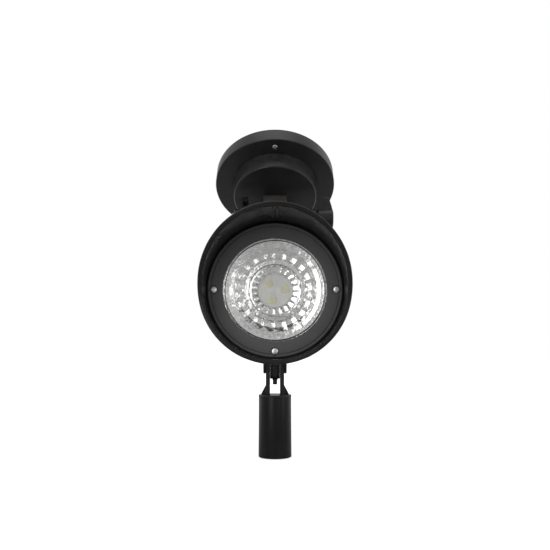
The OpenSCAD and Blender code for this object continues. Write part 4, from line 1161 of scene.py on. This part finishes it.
def addCamera(look):
    data = bpy.data.cameras.new("camera")
    data.sensor_width = look["sensor"]
    data.lens = look["sensor"] * look["focalPixels"] / look["framePixels"]
    data.clip_start = 0.01
    camera = bpy.data.objects.new("camera", data)
    camera.location = Vector(look["place"]) * mm
    camera.rotation_euler = (math.radians(90 + look["pitch"]), 0, 0)
    bpy.context.scene.collection.objects.link(camera)
    bpy.context.scene.camera = camera


addCamera(cameraLook)

stageLook = {"size": 6000, "drop": 0.4, "colour": grey(0.85), "dark": grey(0.36), "glow": 0.65,
             "dimFrom": -0.1, "whiteFrom": 0.5}


def seenRays(tree, strength):
    # one for the camera's rays, the given strength for those of gloss and glass, and nought for the rest
    path = tree.nodes.new("ShaderNodeLightPath").outputs
    bent = mathNode(tree, "ADD", path["Is Glossy Ray"], path["Is Transmission Ray"], clamp=True)
    bent = mathNode(tree, "MULTIPLY", bent, strength)
    return mathNode(tree, "ADD", path["Is Camera Ray"], bent, clamp=True)


def addFloor(look):
    # pale to the camera everywhere, to gloss and glass only behind the lamp; its own glow lights nothing
    deselectAll()
    bpy.ops.mesh.primitive_grid_add(x_subdivisions=4, y_subdivisions=4, size=look["size"] * mm,
                                    location=(0, 0, -look["drop"] * mm))
    floor = named("paleFloor")
    tree, shader = newMaterial("paleFloor")
    back = addNode(tree, "SeparateXYZ", {0: objectVector(tree)}).outputs["Y"]
    seen = seenRays(tree, rangeNode(tree, back, look["dimFrom"], look["whiteFrom"]))
    setInputs(shader, {"Base Color": blendColour(tree, seen, look["dark"], look["colour"]), "Roughness": 0.9,
                       "Specular IOR Level": 0.2})
    glow = addNode(tree, "Emission", {"Strength": mathNode(tree, "MULTIPLY", seen, look["glow"])})
    both = addNode(tree, "AddShader", {0: shader.outputs[0], 1: glow.outputs[0]})
    setInputs(tree.nodes["Material Output"], {"Surface": both.outputs[0]})
    paint(floor, "paleFloor")


addFloor(stageLook)

lampLooks = {
    "softLeft": {"place": (-263, -494, 230), "aim": (0, 0, 120), "size": (220, 700), "strength": 1.6},
    "softRight": {"place": (475, -297, 230), "aim": (0, 0, 120), "size": (220, 700), "strength": 1.2},
    "softTop": {"place": (0, -100, 720), "aim": (0, 0, 100), "size": (420, 320), "strength": 1.8},
    "softFront": {"place": (-240, -560, 190), "aim": (0, 0, 130), "size": (300, 300), "strength": 1.0},
    "softFrontRight": {"place": (250, -560, 140), "aim": (0, 0, 130), "size": (220, 200), "strength": 1.0},
}


def addSoftbox(name, look):
    # the strength is how bright the panel looks, where 1 is white
    width, height = (side * mm for side in look["size"])
    data = bpy.data.lights.new(name, "AREA")
    data.shape = "RECTANGLE"
    data.size, data.size_y = width, height
    data.energy = look["strength"] * math.pi * width * height
    lamp = bpy.data.objects.new(name, data)
    lamp.location = Vector(look["place"]) * mm
    aim = Vector(look["aim"]) * mm - lamp.location
    lamp.rotation_euler = aim.to_track_quat("-Z", "Y").to_euler()
    bpy.context.scene.collection.objects.link(lamp)


for lampName, lampLook in lampLooks.items():
    addSoftbox(lampName, lampLook)

worldLook = {"dimFrom": -0.6, "whiteFrom": 0.5, "dim": 0.5, "plain": 0.8}


def buildWorld(look):
    # white to the camera; in gloss and through glass it is white behind the lamp and dim in front of it
    world = bpy.data.worlds.new("studio")
    world.use_nodes = True
    bpy.context.scene.world = world
    tree = world.node_tree
    direction = tree.nodes.new("ShaderNodeTexCoord").outputs["Generated"]
    back = addNode(tree, "SeparateXYZ", {0: direction}).outputs["Y"]
    byDirection = rangeNode(tree, back, look["dimFrom"], look["whiteFrom"], look["dim"], 1.0)
    diffuse = tree.nodes.new("ShaderNodeLightPath").outputs["Is Diffuse Ray"]
    lit = mathNode(tree, "MULTIPLY", diffuse, look["plain"])
    strength = mathNode(tree, "ADD", seenRays(tree, byDirection), lit)
    setInputs(tree.nodes["Background"], {"Strength": strength, "Color": (1, 1, 1, 1)})


buildWorld(worldLook)

bpy.context.scene.view_settings.view_transform = "Standard"

print("stage: finished")
